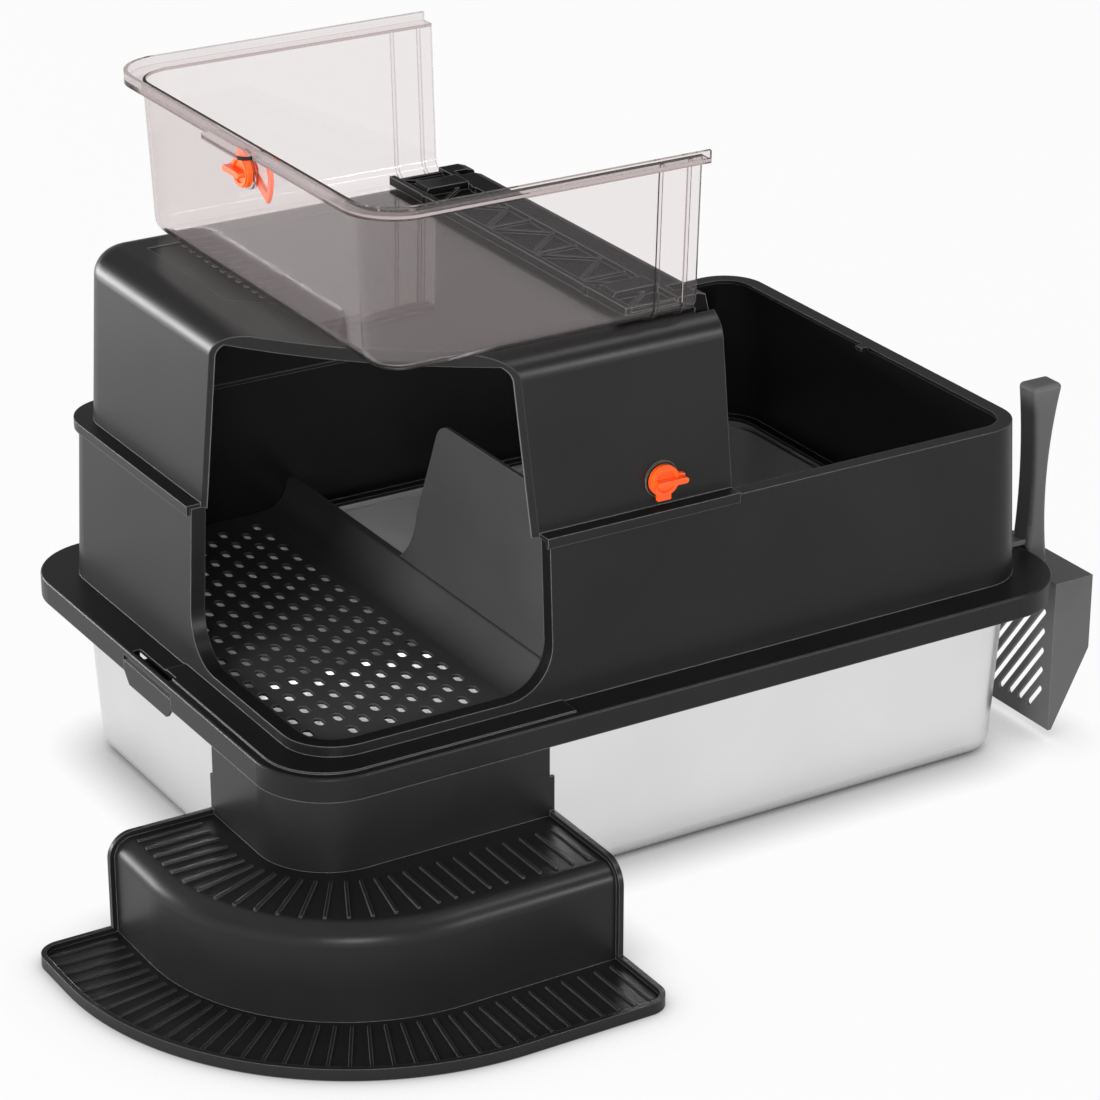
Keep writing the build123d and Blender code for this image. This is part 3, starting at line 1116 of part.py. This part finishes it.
with BuildPart() as scoop_handle:
    # waisted handle with rounded edges, sunk into the head's top
    with BuildSketch(Plane.XZ.offset(-SCOOP_Y - SCOOP_HANDLE_Y / 2)):
        with BuildLine():
            Line((scoop_face, SCOOP_HANDLE_TOP), (scoop_face + SCOOP_HANDLE_X, SCOOP_HANDLE_TOP))
            ThreePointArc(
                (scoop_face + SCOOP_HANDLE_X, SCOOP_HANDLE_TOP),
                (scoop_face + SCOOP_HANDLE_FOOT - SCOOP_WAIST, SCOOP_TOP + SCOOP_WAIST_RISE),
                (scoop_face + SCOOP_HANDLE_FOOT, handle_foot),
            )
            Line((scoop_face + SCOOP_HANDLE_FOOT, handle_foot), (scoop_face, handle_foot))
            ThreePointArc(
                (scoop_face, handle_foot),
                (scoop_face + SCOOP_WAIST, SCOOP_TOP + SCOOP_WAIST_RISE),
                (scoop_face, SCOOP_HANDLE_TOP),
            )
        make_face()
    extrude(amount=SCOOP_HANDLE_Y)
    fillet(scoop_handle.edges().filter_by(lambda edge: edge.center().Z > SCOOP_TOP), SCOOP_GRIP_RADIUS)

with BuildPart() as scoop:
    with BuildSketch(Plane.XZ.offset(-(SCOOP_Y + SCOOP_WIDTH / 2))):
        with BuildLine():
            Polyline(
                (scoop_face, SCOOP_FOOT), (scoop_back, SCOOP_FOOT),
                (scoop_front - SCOOP_SHEET, SCOOP_FOOT + SCOOP_CHIN),
                (scoop_front, SCOOP_FOOT + SCOOP_CHIN + 2 * SCOOP_SHEET), (scoop_front, SCOOP_TOP),
                (scoop_face, SCOOP_TOP), close=True,
            )
        make_face()
    extrude(amount=SCOOP_WIDTH)
    with Locations((scoop_back, SCOOP_Y, SCOOP_FOOT)):
        Box(2 * SCOOP_DEPTH, SCOOP_WIDTH - 2 * SCOOP_SHEET, SCOOP_TOP - SCOOP_FOOT - SCOOP_SHEET,
            align=(Align.MIN, Align.CENTER, Align.MIN), mode=Mode.SUBTRACT)
    # leaning slots in the back, each as long as the plate leaves room for
    with BuildSketch(Plane.YZ.offset(scoop_face - 1)):
        for number in range(slot_count):
            shift = (number - (slot_count - 1) / 2) * SCOOP_SLOT_PITCH
            low, high = slot_span(shift)
            slot_length = hypot(high[0] - low[0], high[1] - low[1])
            with Locations((SCOOP_Y + (low[0] + high[0]) / 2, slot_mid + (low[1] + high[1]) / 2)):
                SlotOverall(slot_length, SCOOP_SLOT_WIDTH, rotation=SCOOP_SLOT_LEAN)
    extrude(amount=2 * SCOOP_SHEET, mode=Mode.SUBTRACT)
    add(scoop_handle.part)
    # hook over the rim
    with Locations((scoop_face + SCOOP_SHEET, SCOOP_Y, RIM_TOP + SCOOP_HOOK_CLEAR)):
        Box(scoop_back - hook_tip, SCOOP_HOOK_WIDTH, SCOOP_HOOK_SHEET,
            align=(Align.MAX, Align.CENTER, Align.MIN))
    with Locations((hook_tip, SCOOP_Y, RIM_TOP + SCOOP_HOOK_CLEAR)):
        Box(SCOOP_HOOK_SHEET, SCOOP_HOOK_WIDTH, SCOOP_HOOK_DEPTH, align=(Align.MIN, Align.CENTER, Align.MAX))
scoop.part.label = "scoop"

pieces = [
    steel_pan.part, base_frame.part, entry_platform.part, entry_partition.part, hood.part, lid.part,
    hinge_strip.part, *hinge_pins.values(), strip_screws.part, *lock_pieces.values(),
    *clip_pieces.values(), corner_steps.part, scoop.part,
]
os.makedirs("parts", exist_ok=True)
for piece in pieces:
    export_step(piece, "parts/" + piece.label + ".step")
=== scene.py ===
import bpy
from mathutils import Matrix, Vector

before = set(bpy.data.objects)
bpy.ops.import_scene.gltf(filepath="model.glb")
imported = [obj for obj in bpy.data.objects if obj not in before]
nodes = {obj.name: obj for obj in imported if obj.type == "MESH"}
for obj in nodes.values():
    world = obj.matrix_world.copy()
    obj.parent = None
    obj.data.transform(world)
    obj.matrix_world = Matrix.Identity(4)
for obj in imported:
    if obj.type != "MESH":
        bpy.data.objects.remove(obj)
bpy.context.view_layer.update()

# Brightness of the floor to seen rays and to gloss, and of the room to diffuse light.
FLOOR_SEEN = 0.96
FLOOR_MIRRORED = 0.75
ROOM_LIGHT = 0.25
# Brightness of the room to gloss, by the height of the ray's direction:
# low, high, level at low, level at high.
MIRRORED_ROOM = ((0.0, 0.15, 1.0, 0.24), (0.45, 0.8, 0.24, 0.75))
# The floor's half side, its depth below the pan's underside, so that the two don't share a plane,
# and how near a piece has to be to paint contact shade into the floor's white.
FLOOR_REACH = 6.0
FLOOR_DROP = 0.0005
FLOOR_SHADE_REACH = 0.05

# The part of a noise texture's range that is spread over a finish.
NOISE_LOW, NOISE_HIGH = 0.3, 0.7
GRAIN_SCALE = 1400.0
TONE_SCALE = 9.0
EDGE_RADIUS = 0.0008
EDGE_GAIN = 4.0
# Share of the painted edge highlight laid over moulded plastic.
EDGE_HIGHLIGHT_SHARE = 0.8
MOULDED_ROUGH_SPREAD = 0.03
TURNED_ROUGH_SPREAD = 0.06
TURNED_DARK_SHARE = 0.85
# Brush lines: the noise's scale along them and across them.
BRUSH_ALONG, BRUSH_ACROSS = 4.0, 4000.0
# A face counts as level where its normal's Z reaches this, up or down.
LEVEL_FACE = 0.75


def feed(tree, value, socket):
    """Links a socket into another, or sets a plain value on it."""
    if hasattr(value, "links"):
        tree.links.new(value, socket)
    else:
        socket.default_value = value


def math_node(tree, operation, first, second=None, clamp=False):
    """A Math node on one or two values or sockets; returns its output."""
    node = tree.nodes.new("ShaderNodeMath")
    node.operation = operation
    node.use_clamp = clamp
    feed(tree, first, node.inputs[0])
    if second is not None:
        feed(tree, second, node.inputs[1])
    return node.outputs[0]


def noise(tree, vector, scale, detail, roughness=0.5):
    """A noise texture read at a vector; returns its value."""
    node = tree.nodes.new("ShaderNodeTexNoise")
    node.inputs["Detail"].default_value = detail
    node.inputs["Roughness"].default_value = roughness
    feed(tree, scale, node.inputs["Scale"])
    tree.links.new(vector, node.inputs["Vector"])
    return node.outputs["Fac"]


def spread(tree, value, low, high, from_low=NOISE_LOW, from_high=NOISE_HIGH):
    """Maps a value between two limits to the range low to high, and holds it there."""
    node = tree.nodes.new("ShaderNodeMapRange")
    node.inputs["From Min"].default_value = from_low
    node.inputs["From Max"].default_value = from_high
    node.inputs["To Min"].default_value = low
    node.inputs["To Max"].default_value = high
    tree.links.new(value, node.inputs["Value"])
    return node.outputs["Result"]


def rgba(colour):
    return (*colour, 1.0)


def grey(level):
    return (level, level, level)


def colour_mix(tree, factor, first, second):
    """Goes from the first colour, plain or from a socket, to the second by a factor."""
    node = tree.nodes.new("ShaderNodeMix")
    node.data_type = "RGBA"
    tree.links.new(factor, node.inputs["Factor"])
    feed(tree, rgba(first) if isinstance(first, tuple) else first, node.inputs["A"])
    node.inputs["B"].default_value = rgba(second)
    return node.outputs["Result"]


def new_group(name, inputs, outputs):
    """A node group with float inputs at their resting values, and outputs by kind."""
    tree = bpy.data.node_groups.new(name, "ShaderNodeTree")
    for label, value in inputs.items():
        socket = tree.interface.new_socket(label, in_out="INPUT", socket_type="NodeSocketFloat")
        socket.default_value = value
    for label, kind in outputs.items():
        tree.interface.new_socket(label, in_out="OUTPUT", socket_type=kind)
    way_in = tree.nodes.new("NodeGroupInput") if inputs else None
    return tree, way_in, tree.nodes.new("NodeGroupOutput")


def moulded_grain_group():
    """Spark-eroded mould texture on Object coordinates: fine noise for height, slow for tone."""
    tree, way_in, way_out = new_group(
        "moulded_grain",
        {"Grain Scale": GRAIN_SCALE, "Tone Scale": TONE_SCALE},
        {"Height": "NodeSocketFloat", "Tone": "NodeSocketFloat"},
    )
    place = tree.nodes.new("ShaderNodeTexCoord").outputs["Object"]
    fine = noise(tree, place, way_in.outputs["Grain Scale"], detail=2.0)
    slow = noise(tree, place, way_in.outputs["Tone Scale"], detail=5.0, roughness=0.6)
    tree.links.new(fine, way_out.inputs["Height"])
    tree.links.new(slow, way_out.inputs["Tone"])
    return tree


def rounded_edge_group():
    """Rounded-edge normal, and a mask that grows to 1 as that normal leaves the face's own."""
    # The Edge mask is where plastics get a painted highlight and clear sheet a painted dark line.
    tree, way_in, way_out = new_group(
        "rounded_edge",
        {"Radius": EDGE_RADIUS},
        {"Normal": "NodeSocketVector", "Edge": "NodeSocketFloat"},
    )
    bevel = tree.nodes.new("ShaderNodeBevel")
    bevel.samples = 6
    tree.links.new(way_in.outputs["Radius"], bevel.inputs["Radius"])
    face = tree.nodes.new("ShaderNodeNewGeometry")
    agree = tree.nodes.new("ShaderNodeVectorMath")
    agree.operation = "DOT_PRODUCT"
    tree.links.new(bevel.outputs["Normal"], agree.inputs[0])
    tree.links.new(face.outputs["Normal"], agree.inputs[1])
    turn = math_node(tree, "SUBTRACT", 1.0, agree.outputs["Value"], clamp=True)
    edge = math_node(tree, "MULTIPLY", turn, EDGE_GAIN, clamp=True)
    tree.links.new(bevel.outputs["Normal"], way_out.inputs["Normal"])
    tree.links.new(edge, way_out.inputs["Edge"])
    return tree


def brush_lines(tree, place, stretch):
    """Noise stretched along the axes with a low scale."""
    node = tree.nodes.new("ShaderNodeMapping")
    node.inputs["Scale"].default_value = stretch
    tree.links.new(place, node.inputs["Vector"])
    return noise(tree, node.outputs["Vector"], scale=1.0, detail=3.0)


def brushed_steel_group():
    """Brush lines, level round upright faces and along X on level ones, and a slow clouding."""
    tree, _, way_out = new_group(
        "brushed_lines", {}, {"Height": "NodeSocketFloat", "Cloud": "NodeSocketFloat"}
    )
    place = tree.nodes.new("ShaderNodeTexCoord").outputs["Object"]
    upright_lines = brush_lines(tree, place, (BRUSH_ALONG, BRUSH_ALONG, BRUSH_ACROSS))
    level_lines = brush_lines(tree, place, (BRUSH_ALONG, BRUSH_ACROSS, BRUSH_ALONG))
    face = tree.nodes.new("ShaderNodeNewGeometry")
    split = tree.nodes.new("ShaderNodeSeparateXYZ")
    tree.links.new(face.outputs["True Normal"], split.inputs[0])
    flatness = math_node(tree, "ABSOLUTE", split.outputs["Z"])
    pick = tree.nodes.new("ShaderNodeMix")
    tree.links.new(math_node(tree, "LESS_THAN", flatness, LEVEL_FACE), pick.inputs["Factor"])
    tree.links.new(level_lines, pick.inputs["A"])
    tree.links.new(upright_lines, pick.inputs["B"])
    tree.links.new(pick.outputs["Result"], way_out.inputs["Height"])
    tree.links.new(noise(tree, place, scale=7.0, detail=4.0), way_out.inputs["Cloud"])
    return tree


grain_group = moulded_grain_group()
edge_group = rounded_edge_group()
steel_group = brushed_steel_group()


def group_node(tree, group, settings=None):
    """Places a node group in a material, with any of its inputs set."""
    node = tree.nodes.new("ShaderNodeGroup")
    node.node_tree = group
    for label, value in (settings or {}).items():
        node.inputs[label].default_value = value
    return node


def new_material(name):
    material = bpy.data.materials.new(name)
    material.use_nodes = True
    tree = material.node_tree
    return material, tree, tree.nodes["Principled BSDF"]


def bumped(tree, shader, height, normal, strength, distance):
    """Feeds the shader a normal with a fine height laid over it."""
    node = tree.nodes.new("ShaderNodeBump")
    node.inputs["Strength"].default_value = strength
    node.inputs["Distance"].default_value = distance
    tree.links.new(height, node.inputs["Height"])
    tree.links.new(normal, node.inputs["Normal"])
    tree.links.new(node.outputs["Normal"], shader.inputs["Normal"])


def moulded_plastic(
    name, dark, light, worn, rough, specular, grain=GRAIN_SCALE, radius=EDGE_RADIUS
):
    """Injection moulded plastic: slow tone change, fine grain, edges lightened by a painted
    highlight.
    """
    material, tree, shader = new_material(name)
    texture = group_node(tree, grain_group, {"Grain Scale": grain})
    edge = group_node(tree, edge_group, {"Radius": radius})
    tone = texture.outputs["Tone"]
    plain = colour_mix(tree, spread(tree, tone, 0.0, 1.0), dark, light)
    # Painted highlight: rounded edges are lightened towards a lighter colour, for light caught on
    # them.
    painted_highlight_share = math_node(tree, "MULTIPLY", edge.outputs["Edge"], EDGE_HIGHLIGHT_SHARE)
    tree.links.new(colour_mix(tree, painted_highlight_share, plain, worn), shader.inputs["Base Color"])
    gloss = spread(tree, tone, rough - MOULDED_ROUGH_SPREAD, rough + MOULDED_ROUGH_SPREAD)
    tree.links.new(gloss, shader.inputs["Roughness"])
    shader.inputs["Specular IOR Level"].default_value = specular
    height, normal = texture.outputs["Height"], edge.outputs["Normal"]
    bumped(tree, shader, height, normal, strength=0.35, distance=0.00006)
    return material


def brushed_steel(name, dark, light):
    """Brushed stainless sheet: fine lines in height and roughness, slow clouding of the tone."""
    material, tree, shader = new_material(name)
    lines = group_node(tree, steel_group)
    edge = group_node(tree, edge_group, {"Radius": 0.001})
    cloud = spread(tree, lines.outputs["Cloud"], 0.0, 1.0)
    tree.links.new(colour_mix(tree, cloud, dark, light), shader.inputs["Base Color"])
    shader.inputs["Metallic"].default_value = 1.0
    height, normal = lines.outputs["Height"], edge.outputs["Normal"]
    gloss = spread(tree, height, low=0.28, high=0.36)
    tree.links.new(gloss, shader.inputs["Roughness"])
    bumped(tree, shader, height, normal, strength=0.15, distance=0.00002)
    return material


def turned_steel(name, colour, rough):
    """Pin and screw steel: slow change of tone and roughness, fine grain, rounded edges."""
    material, tree, shader = new_material(name)
    texture = group_node(tree, grain_group, {"Grain Scale": 3000.0, "Tone Scale": 60.0})
    edge = group_node(tree, edge_group, {"Radius": 0.0003})
    tone = texture.outputs["Tone"]
    darker = tuple(TURNED_DARK_SHARE * channel for channel in colour)
    shade = colour_mix(tree, spread(tree, tone, 0.0, 1.0), darker, colour)
    tree.links.new(shade, shader.inputs["Base Color"])
    shader.inputs["Metallic"].default_value = 1.0
    gloss = spread(tree, tone, rough - TURNED_ROUGH_SPREAD, rough + TURNED_ROUGH_SPREAD)
    tree.links.new(gloss, shader.inputs["Roughness"])
    height, normal = texture.outputs["Height"], edge.outputs["Normal"]
    bumped(tree, shader, height, normal, strength=0.2, distance=0.00003)
    return material


def smoked_sheet(name, tint, painted_edge_shade, shadow_tint, smoke_colour):
    """Clear smoked plastic: light is absorbed on its way through, edges carry a painted dark line
    for the dark seen by refraction there.
    """
    material, tree, shader = new_material(name)
    texture = group_node(tree, grain_group, {"Grain Scale": 500.0, "Tone Scale": 6.0})
    edge = group_node(tree, edge_group, {"Radius": 0.0009})
    gloss = spread(tree, texture.outputs["Tone"], low=0.01, high=0.03)
    tree.links.new(gloss, shader.inputs["Roughness"])
    # Painted shade: the edges are darkened towards a grey line, standing in for refraction's dark
    # edges.
    colour = colour_mix(tree, edge.outputs["Edge"], tint, painted_edge_shade)
    tree.links.new(colour, shader.inputs["Base Color"])
    shader.inputs["Transmission Weight"].default_value = 0.992
    shader.inputs["IOR"].default_value = 1.3
    clear = tree.nodes.new("ShaderNodeBsdfTransparent")
    clear.inputs["Color"].default_value = rgba(shadow_tint)
    path = tree.nodes.new("ShaderNodeLightPath")
    choose = tree.nodes.new("ShaderNodeMixShader")
    smoke = tree.nodes.new("ShaderNodeVolumeAbsorption")
    smoke.inputs["Color"].default_value = rgba(smoke_colour)
    smoke.inputs["Density"].default_value = 60.0
    out = tree.nodes["Material Output"]
    tree.links.new(path.outputs["Is Shadow Ray"], choose.inputs["Fac"])
    tree.links.new(shader.outputs["BSDF"], choose.inputs[1])
    tree.links.new(clear.outputs["BSDF"], choose.inputs[2])
    tree.links.new(choose.outputs["Shader"], out.inputs["Surface"])
    tree.links.new(smoke.outputs["Volume"], out.inputs["Volume"])
    return material


# The plastics' edge colours are painted highlights; the clear sheet's edge line is painted shade.
finishes = {
    "stainless_steel": brushed_steel(
        "brushed_stainless", dark=(0.76, 0.76, 0.765), light=(0.82, 0.82, 0.82)
    ),
    "black_plastic": moulded_plastic(
        "matt_black_plastic", dark=grey(0.006), light=grey(0.008), worn=grey(0.20),
        rough=0.36, specular=0.24, radius=0.0012,
    ),
    "step_plastic": moulded_plastic(
        "step_black_plastic", dark=grey(0.008), light=grey(0.011), worn=grey(0.15),
        rough=0.36, specular=0.25,
    ),
    # The scoop is black plastic lightened to mid grey: painted light, for the strong light on its
    # near face.
    "scoop_plastic": moulded_plastic(
        "scoop_plastic_painted_lit", dark=grey(0.092), light=grey(0.106), worn=grey(0.22),
        rough=0.36, specular=0.3,
    ),
    "strip_plastic": moulded_plastic(
        "strip_black_plastic", dark=grey(0.003), light=grey(0.005), worn=grey(0.34),
        rough=0.45, specular=0.06, radius=0.0013,
    ),
    "clip_plastic": moulded_plastic(
        "clip_black_plastic", dark=grey(0.011), light=grey(0.015), worn=grey(0.13),
        rough=0.34, specular=0.2,
    ),
    # A lighter copy of the black plastic: painted light for the light that falls through the entry
    # onto the platform and partition.
    "partition_plastic": moulded_plastic(
        "entry_plastic_painted_lit", dark=grey(0.042), light=grey(0.052), worn=grey(0.15),
        rough=0.45, specular=0.25,
    ),
    "smoked_clear": smoked_sheet(
        "smoked_clear_sheet", tint=(0.95, 0.93, 0.93), painted_edge_shade=(0.22, 0.20, 0.20),
        shadow_tint=(0.94, 0.92, 0.92), smoke_colour=(0.40, 0.24, 0.24),
    ),
    "orange_plastic": moulded_plastic(
        "orange_lock_plastic", dark=(0.88, 0.085, 0.006), light=(0.98, 0.105, 0.008),
        worn=(1.0, 0.22, 0.05), rough=0.34, specular=0.45, grain=900.0, radius=0.0006,
    ),
    "pin_steel": turned_steel("pin_steel", colour=(0.62, 0.62, 0.64), rough=0.30),
    "screw_steel": turned_steel("screw_steel", colour=(0.55, 0.55, 0.57), rough=0.34),
}

# Pieces given a lighter plastic than the rest, painted light for the light falling on them through
# the entry; all others take the finish of their CAD slot.
painted_light_finish = {"entry_partition": "partition_plastic", "entry_platform": "partition_plastic"}

for name, piece in nodes.items():
    for place in piece.material_slots:
        slot = place.material.name.split(".")[0]
        place.material = finishes[painted_light_finish.get(name, slot)]


def ray_level(tree, direct, mirrored, scattered):
    """One level for rays from the camera or through clear sheet, one for gloss, one for others."""
    path = tree.nodes.new("ShaderNodeLightPath").outputs
    straight = math_node(tree, "MAXIMUM", path["Is Camera Ray"], path["Is Transmission Ray"])
    seen = math_node(tree, "MAXIMUM", straight, path["Is Glossy Ray"])
    gloss = math_node(tree, "MULTIPLY", path["Is Glossy Ray"], mirrored)
    unseen = math_node(tree, "SUBTRACT", 1.0, seen)
    rest = math_node(tree, "MULTIPLY", unseen, scattered)
    level = math_node(tree, "MAXIMUM", math_node(tree, "MULTIPLY", straight, direct), gloss)
    return math_node(tree, "MAXIMUM", level, rest)


def stage_floor():
    """A wide sheet: grey to diffuse light, mostly white to seen rays, the object's shadow kept,
    with painted contact shade near pieces.
    """
    sides = [(-1, -1), (1, -1), (1, 1), (-1, 1)]
    corners = [(FLOOR_REACH * x, FLOOR_REACH * y, 0) for x, y in sides]
    mesh = bpy.data.meshes.new("studio_floor")
    mesh.from_pydata(corners, [], [(0, 1, 2, 3)])
    floor = bpy.data.objects.new("studio_floor", mesh)
    floor.location.z = -FLOOR_DROP
    bpy.context.scene.collection.objects.link(floor)
    material, tree, shader = new_material("studio_floor_white")
    shader.inputs["Base Color"].default_value = rgba(grey(0.5))
    shader.inputs["Roughness"].default_value = 0.9
    shader.inputs["Specular IOR Level"].default_value = 0.0
    white = tree.nodes.new("ShaderNodeEmission")
    # Painted contact shade: the floor's white glow is dimmed where pieces stand near.
    painted_contact_shade = tree.nodes.new("ShaderNodeAmbientOcclusion")
    painted_contact_shade.samples = 8
    painted_contact_shade.inputs["Distance"].default_value = FLOOR_SHADE_REACH
    tree.links.new(painted_contact_shade.outputs["AO"], white.inputs["Strength"])
    blend = tree.nodes.new("ShaderNodeMixShader")
    tree.links.new(ray_level(tree, FLOOR_SEEN, FLOOR_MIRRORED, 0.0), blend.inputs["Fac"])
    tree.links.new(shader.outputs["BSDF"], blend.inputs[1])
    tree.links.new(white.outputs["Emission"], blend.inputs[2])
    tree.links.new(blend.outputs["Shader"], tree.nodes["Material Output"].inputs["Surface"])
    mesh.materials.append(material)


def face_target(thing, place, target):
    """Puts a lamp or camera at a place, turned to face its target, and adds it to the scene."""
    thing.location = place
    aim = Vector(target) - Vector(place)
    thing.rotation_euler = aim.to_track_quat("-Z", "Y").to_euler()
    bpy.context.scene.collection.objects.link(thing)


def soft_box(name, place, target, width, height, power, mirrored=True):
    """An oblong lamp, unseen through clear sheet, and unseen in gloss unless it is mirrored."""
    lamp = bpy.data.lights.new(name, "AREA")
    lamp.shape = "RECTANGLE"
    lamp.size = width
    lamp.size_y = height
    lamp.energy = power
    thing = bpy.data.objects.new(name, lamp)
    thing.visible_glossy = mirrored
    thing.visible_transmission = False
    face_target(thing, place, target)


def white_world():
    """White to seen rays, even to diffuse light; gloss sees a horizon, dim walls and a ceiling."""
    world = bpy.data.worlds.new("studio_white")
    world.use_nodes = True
    tree = world.node_tree
    shade = tree.nodes["Background"]
    way = tree.nodes.new("ShaderNodeTexCoord")
    split = tree.nodes.new("ShaderNodeSeparateXYZ")
    tree.links.new(way.outputs["Generated"], split.inputs[0])
    horizon, ceiling = (
        spread(tree, split.outputs["Z"], at_low, at_high, low_z, high_z)
        for low_z, high_z, at_low, at_high in MIRRORED_ROOM
    )
    mirrored = math_node(tree, "MAXIMUM", horizon, ceiling)
    tree.links.new(ray_level(tree, 1.0, mirrored, ROOM_LIGHT), shade.inputs["Strength"])
    shade.inputs["Color"].default_value = rgba(grey(1.0))
    bpy.context.scene.world = world


def photo_camera():
    """The camera at the viewing angle of the picture."""
    data = bpy.data.cameras.new("view")
    data.lens = 123.85
    data.sensor_width = 36.0
    data.sensor_fit = "HORIZONTAL"
    data.shift_x = 0.0039
    data.shift_y = -0.0308
    data.clip_end = 50
    thing = bpy.data.objects.new("view", data)
    face_target(thing, place=(-1.4147, -2.3448, 1.3881), target=(0, 0, 0.2))
    bpy.context.scene.camera = thing


stage_floor()
soft_box(
    "left_soft_box", place=(-2.7, -0.9, 0.7), target=(-0.1, 0, 0.3),
    width=1.6, height=1.3, power=95, mirrored=False,
)
soft_box(
    "front_left_soft_box", place=(-1.6, -2.8, 0.55), target=(-0.2, -0.1, 0.15),
    width=0.8, height=0.7, power=33,
)
soft_box(
    "front_right_strip", place=(1.35, -2.7, 0.75), target=(0.1, -0.2, 0.3),
    width=1.0, height=0.35, power=30,
)
soft_box(
    "back_left_strip", place=(-1.8, 2.4, 0.32), target=(-0.3, 0, 0.3),
    width=1.7, height=0.55, power=62,
)
soft_box(
    "right_strip", place=(1.3, -1.15, 2.4), target=(0.1, 0, 0.4),
    width=1.3, height=0.4, power=16,
)
white_world()
photo_camera()
bpy.context.scene.view_settings.view_transform = "Standard"
